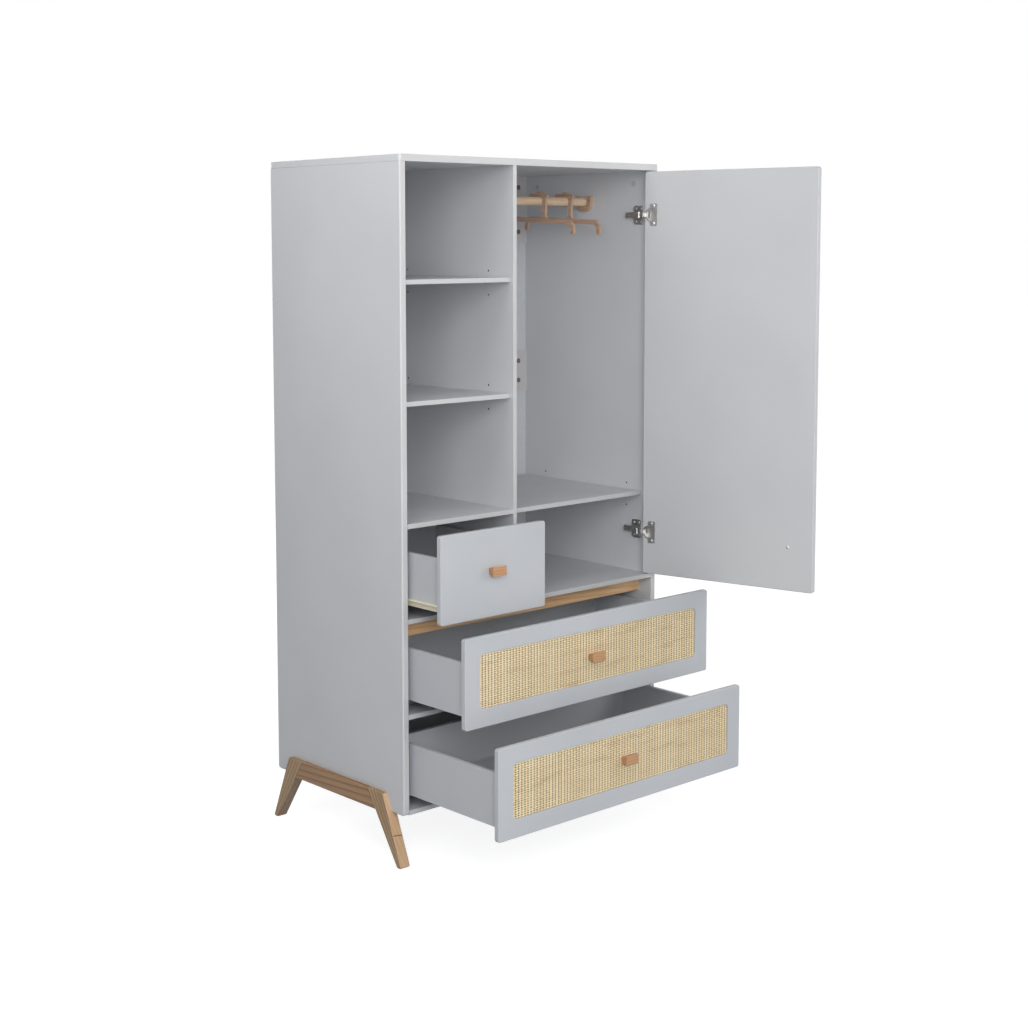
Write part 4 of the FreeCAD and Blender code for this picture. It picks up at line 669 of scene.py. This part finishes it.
cane, tree, shader = start_finish("natural cane")
place = object_place(tree)
strand_tone = step(tree, "ShaderNodeAttribute", {}, attribute_name="strand_tone").outputs["Fac"]
strand_turn = step(tree, "ShaderNodeAttribute", {}, attribute_name="strand_turn").outputs["Fac"]
upright = streaks_of(tree, place, UPRIGHT_STREAKS, detail=3.0, rough=0.6)
level = streaks_of(tree, place, LEVEL_STREAKS, detail=3.0, rough=0.6)
on_strips = sums(tree, "MULTIPLY", upright, sums(tree, "SUBTRACT", 1.0, strand_turn))
on_strands = sums(tree, "MULTIPLY", level, strand_turn)
streaks = sums(tree, "ADD", on_strands, on_strips)
brown_runs = streaks_of(tree, place, BROWN_RUNS, detail=3.0)
flecks = streaks_of(tree, place, FLECKS, detail=2.0)
straw = blend(tree, strand_tone, tone(228, 204, 158), tone(244, 227, 186))
# Painted light: the level strands are paled, to offset the shade that the strips beside them cast.
straw = blend(tree, sums(tree, "MULTIPLY", strand_turn, LEVEL_PAINTED_LIGHT), straw, tone(252, 240, 210))
straw = blend(tree, between(tree, streaks, *STREAKS_SHOW), straw, tone(186, 148, 104))
straw = blend(tree, between(tree, brown_runs, *BROWN_RUNS_SHOW), straw, tone(184, 140, 102))
straw = blend(tree, between(tree, flecks, *FLECKS_SHOW), straw, tone(138, 94, 56))
coat_with(tree, straw, between(tree, streaks, *WIDE_RANGE, *CANE_ROUGH))
raise_bumps(tree, shader, streaks, CANE_RELIEF, strength=0.6)

# Painted shade: a dark sheet behind the weave stands in for the shade in its holes.
hole_shade, tree, shader = start_finish("dark backing sheet")
shade_mottle = cloud(tree, object_place(tree), HOLE_SHADE_MOTTLE)
dark = blend(tree, shade_mottle, tone(42, 29, 19), tone(62, 45, 31))
tree.links.new(dark, shader.inputs["Base Color"])
shader.inputs["Roughness"].default_value = HOLE_SHADE_ROUGH
raise_bumps(tree, shader, shade_mottle, CANE_RELIEF)


def weave_tree():
    """The tree that lays the strips and strands of a panel, flat in its own plane."""
    tree, given = open_tree("cane weave", ("Panel Width", "Panel Height", *CANE), ("Seed",))
    add, figure = partial(step, tree), partial(sums, tree)
    width, height, radius = given["Panel Width"], given["Panel Height"], given["Corner Radius"]

    def row(span, pitch, run, across, side, turn):
        """One way of the weave, 0 upright or 1 level: even flat pieces, cut to the panel."""
        count = figure("ROUND", figure("DIVIDE", span, pitch))
        gap = figure("DIVIDE", span, count)
        first = figure("MULTIPLY", figure("SUBTRACT", count, 1.0), -0.5)
        index = add("GeometryNodeInputIndex", {}).outputs[0]
        place = figure("MULTIPLY", figure("ADD", index, first), gap)
        line = add("GeometryNodeMeshLine", {"Count": count}).outputs[0]
        spots = add("ShaderNodeCombineXYZ", {turn: place}).outputs[0]
        centres = add("GeometryNodeSetPosition", {"Geometry": line, "Position": spots}).outputs[0]
        straight = figure("MULTIPLY_ADD", span, 0.5, figure("MULTIPLY", radius, -1.0))
        past = figure("MAXIMUM", figure("SUBTRACT", figure("ABSOLUTE", place), straight), 0.0)
        squares = figure("MULTIPLY", radius, radius), figure("MULTIPLY", past, past)
        chord = figure("SQRT", figure("SUBTRACT", *squares))
        cut = figure("MULTIPLY", figure("SUBTRACT", radius, chord), 2.0)
        length = figure("SUBTRACT", run, cut)
        half = [0.0, 0.0, 0.0]
        half[1 - turn] = 0.5
        unit = add("GeometryNodeCurvePrimitiveLine", {"Start": [-v for v in half], "End": half})
        stretch = add("ShaderNodeCombineXYZ", {turn: 1.0, 1 - turn: length, 2: 1.0}).outputs[0]
        laid = add("GeometryNodeInstanceOnPoints",
                   {"Points": centres, "Instance": unit.outputs[0], "Scale": stretch}).outputs[0]
        chance = add("FunctionNodeRandomValue", {"Seed": figure("ADD", given["Seed"], turn)},
                     data_type="FLOAT").outputs[1]
        for name, value in (("strand_tone", chance), ("strand_turn", turn)):
            laid = add("GeometryNodeStoreNamedAttribute",
                       {"Geometry": laid, "Name": name, "Value": value},
                       data_type="FLOAT", domain="INSTANCE").outputs[0]
        loose = add("GeometryNodeRealizeInstances", {"Geometry": laid}).outputs[0]
        cross_count = figure("ROUND", figure("DIVIDE", run, across))
        cross_gap = figure("DIVIDE", run, cross_count)
        stride = figure("MULTIPLY", cross_gap, 1 / STEPS_TO_A_CROSSING)
        fine = add("GeometryNodeResampleCurve", {"Curve": loose, "Length": stride},
                   mode="LENGTH").outputs[0]
        spot = axes(tree, add("GeometryNodeInputPosition", {}).outputs[0])
        waves = []
        for axis in (0, 1):
            pitch_now, count_now = (gap, count) if axis == turn else (cross_gap, cross_count)
            turns = figure("ADD", figure("DIVIDE", spot[axis], pitch_now),
                           figure("MULTIPLY", count_now, 0.5))
            waves.append(figure("SINE", figure("MULTIPLY", turns, math.pi)))
        rise = figure("MULTIPLY", given["Rise"], 1.0 - 2.0 * turn)
        lift = figure("MULTIPLY", figure("MULTIPLY", *waves), rise)
        offset = add("ShaderNodeCombineXYZ", {2: lift}).outputs[0]
        woven = add("GeometryNodeSetPosition", {"Geometry": fine, "Offset": offset}).outputs[0]
        level = add("GeometryNodeSetCurveNormal", {"Curve": woven}, mode="Z_UP").outputs[0]
        flat = add("GeometryNodeCurvePrimitiveQuadrilateral",
                   {"Width": side, "Height": given["Thickness"]}, mode="RECTANGLE").outputs[0]
        return add("GeometryNodeCurveToMesh",
                   {"Curve": level, "Profile Curve": flat, "Fill Caps": True}).outputs[0]

    strip_pitch, strand_pitch = given["Strip Pitch"], given["Strand Pitch"]
    strips = row(width, strip_pitch, height, strand_pitch, given["Strip Width"], 0)
    strands = row(height, strand_pitch, width, strip_pitch, given["Strand Width"], 1)
    both = tree.nodes.new("GeometryNodeJoinGeometry")
    tree.links.new(strands, both.inputs[0])
    tree.links.new(strips, both.inputs[0])
    close_tree(tree, both.outputs[0], given["Finish"])
    return tree


def hole_shade_mesh(name, low, high):
    """A thin sheet of painted shade with round corners, at the back of the space from low to high.
    """
    corner = CANE["Corner Radius"]
    middle = (low + high) / 2
    flat_x, flat_z = (high.x - low.x) / 2 - corner, (high.z - low.z) / 2 - corner
    rim = []
    for x_side, z_side, turn in ((1, 1, 0), (-1, 1, 90), (-1, -1, 180), (1, -1, 270)):
        for slice_now in range(CORNER_SLICES + 1):
            angle = math.radians(turn + 90 * slice_now / CORNER_SLICES)
            rim.append((middle.x + x_side * flat_x + corner * math.cos(angle),
                        middle.z + z_side * flat_z + corner * math.sin(angle)))
    count = len(rim)
    points = [(x, y, z) for y in (high.y - HOLE_SHADE_THICKNESS, high.y) for x, z in rim]
    around = [(now, (now + 1) % count) for now in range(count)]
    sides = [(after, now, now + count, after + count) for now, after in around]
    mesh = bpy.data.meshes.new(name)
    mesh.from_pydata(points, [], [range(count), range(2 * count - 1, count - 1, -1), *sides])
    mesh.materials.append(hole_shade)
    return mesh


weave = weave_tree()
for drawer, seed in (("upper_drawer", 3), ("lower_drawer", 8)):
    low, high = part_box(drawer + "_cane_panel")
    mesh = grown(drawer + "_cane", weave,
                 {**CANE, "Panel Width": high.x - low.x, "Panel Height": high.z - low.z,
                  "Seed": seed, "Finish": cane})
    middle_y = low.y + CANE["Rise"] + CANE["Thickness"] / 2
    middle = Vector(((low.x + high.x) / 2, middle_y, (low.z + high.z) / 2))
    mesh.transform(Matrix.Translation(middle) @ Matrix.Rotation(math.radians(90), 4, "X"))
    outward(mesh)
    panel = shown(drawer + "_woven_cane", mesh, drawer)
    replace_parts(panel, drawer + "_cane_panel")
    sheet = drawer + "_cane_hole_shade"
    shown(sheet, hole_shade_mesh(sheet, low, high), drawer)


# Floor and backdrop.
# A plain pale floor takes the wardrobe's soft shadow and runs out to the backdrop's white.
# Both look white to the camera but send out much less light, which comes from the lamps instead.
FLOOR_HALF = 40.0
FLOOR_DROP = 0.0005
FLOOR_NEAR = 1.2
FLOOR_FAR = 4.0
FLOOR_GLOW = 0.84
FLOOR_COAT = (0.43, 0.43, 0.43, 1.0)
FLOOR_BOUNCE = (0.41, 0.43, 0.46, 1.0)
SKY_LIGHT = 0.07
SKY_TINT = (0.91, 0.985, 1.08, 1.0)
WHITE = (1.0, 1.0, 1.0, 1.0)


def seen_ray(tree):
    """One for what the camera sees, plainly, mirrored or through glass, and nought otherwise."""
    ray = tree.nodes.new("ShaderNodeLightPath").outputs
    seen = sums(tree, "MAXIMUM", ray["Is Camera Ray"], ray["Is Glossy Ray"])
    return sums(tree, "MAXIMUM", seen, ray["Is Transmission Ray"])


ground, tree, shader = start_finish("pale floor")
tree.nodes.remove(shader)
place = object_place(tree)
away = step(tree, "ShaderNodeVectorMath", {0: place}, operation="LENGTH").outputs["Value"]
glow_now = between(tree, away, FLOOR_NEAR, FLOOR_FAR, FLOOR_GLOW, 1.0)
lit = tree.nodes.new("ShaderNodeAddShader")
coat = step(tree, "ShaderNodeBsdfDiffuse", {"Color": FLOOR_COAT}).outputs[0]
glow = step(tree, "ShaderNodeEmission", {"Color": WHITE, "Strength": glow_now}).outputs[0]
tree.links.new(coat, lit.inputs[0])
tree.links.new(glow, lit.inputs[1])
bounce = step(tree, "ShaderNodeBsdfDiffuse", {"Color": FLOOR_BOUNCE}).outputs[0]
mixed = step(tree, "ShaderNodeMixShader", {0: seen_ray(tree), 1: bounce, 2: lit.outputs[0]})
tree.links.new(mixed.outputs[0], tree.nodes["Material Output"].inputs["Surface"])
work = bmesh.new()
bmesh.ops.create_grid(work, x_segments=1, y_segments=1, size=FLOOR_HALF)
floor_mesh = bpy.data.meshes.new("floor")
work.to_mesh(floor_mesh)
work.free()
floor_mesh.transform(Matrix.Translation((0.0, 0.0, -FLOOR_DROP)))
floor_mesh.materials.append(ground)
floor = bpy.data.objects.new("floor", floor_mesh)
bpy.context.scene.collection.objects.link(floor)

world = bpy.data.worlds.new("studio")
bpy.context.scene.world = world
world.use_nodes = True
tree = world.node_tree
back_light = tree.nodes["Background"]
seen = seen_ray(tree)
tree.links.new(blend(tree, seen, SKY_TINT, WHITE), back_light.inputs["Color"])
tree.links.new(between(tree, seen, 0.0, 1.0, SKY_LIGHT, 1.0), back_light.inputs["Strength"])


# Studio lamps.
# Broad lamps stand in front, on the camera's side and on the right; a small one hangs on the left.
# A low one in front reaches into the drawers, and a last one stands behind, for the back.
def lamp(name, place, target, width, height, power, colour):
    """A broad soft lamp turned towards a point."""
    light = bpy.data.lights.new(name, "AREA")
    light.shape = "RECTANGLE"
    light.size = width
    light.size_y = height
    light.energy = power
    light.color = colour
    holder = bpy.data.objects.new(name, light)
    holder.location = place
    holder.rotation_euler = (Vector(target) - Vector(place)).to_track_quat("-Z", "Y").to_euler()
    holder.visible_camera = False
    bpy.context.scene.collection.objects.link(holder)


BROAD = (3.0, 2.4)
MIDDLE = (0.0, -0.2, 0.9)
lamp("camera side lamp", (-3.0, -3.5, 2.2), MIDDLE, *BROAD, 98.0, (1.0, 0.995, 0.99))
lamp("front lamp", (-1.7, -4.4, 2.2), MIDDLE, *BROAD, 40.0, (1.0, 0.995, 0.985))
lamp("high lamp", (-2.2, -3.1, 3.7), (0.0, -0.2, 1.2), 2.4, 2.0, 19.0, (1.0, 0.99, 0.975))
lamp("left lamp", (-1.7, -0.4, 2.9), (-0.45, 0.0, 1.4), 1.4, 1.0, 21.0, (1.0, 0.985, 0.965))
lamp("right lamp", (3.3, -3.3, 2.4), MIDDLE, *BROAD, 72.0, (0.98, 0.99, 1.0))
lamp("low lamp", (-1.0, -4.3, 0.9), (0.0, -0.2, 0.7), 2.4, 1.0, 16.0, (0.97, 0.99, 1.0))
lamp("rear lamp", (0.8, 4.4, 2.6), (0.0, 0.2, 0.9), *BROAD, 70.0, (1.0, 1.0, 1.0))


# Camera.
# It stands where the photograph was taken from: before the left corner, at about head height.
# The centre of the lens lies off the picture's middle, because the photograph was cropped.
PICTURE = 1028
FOCAL_PIXELS = 1683.98
CENTRE_X = 467.35
CENTRE_Y = 403.14
SENSOR = 36.0
EYE = (-3.10447, -3.49757, 1.58289)
YAW, PITCH, ROLL = (math.radians(degrees) for degrees in (-41.528, -5.400, -0.185))
NEAREST = 0.05
FARTHEST = 200.0
camera_data = bpy.data.cameras.new("camera")
camera_data.sensor_fit = "HORIZONTAL"
camera_data.sensor_width = SENSOR
camera_data.lens = SENSOR * FOCAL_PIXELS / PICTURE
camera_data.shift_x = (PICTURE / 2 - CENTRE_X) / PICTURE
camera_data.shift_y = (CENTRE_Y - PICTURE / 2) / PICTURE
camera_data.clip_start = NEAREST
camera_data.clip_end = FARTHEST
ahead = Vector((-math.sin(YAW) * math.cos(PITCH), math.cos(YAW) * math.cos(PITCH), math.sin(PITCH)))
right = Vector((math.cos(YAW), math.sin(YAW), 0.0))
up = right.cross(ahead)
level_right = right * math.cos(ROLL) + up * math.sin(ROLL)
level_up = up * math.cos(ROLL) - right * math.sin(ROLL)
turned = Matrix((level_right, level_up, -ahead)).transposed().to_4x4()
camera = bpy.data.objects.new("camera", camera_data)
camera.matrix_world = Matrix.Translation(EYE) @ turned
bpy.context.scene.collection.objects.link(camera)
bpy.context.scene.camera = camera
bpy.context.scene.view_settings.view_transform = "Standard"
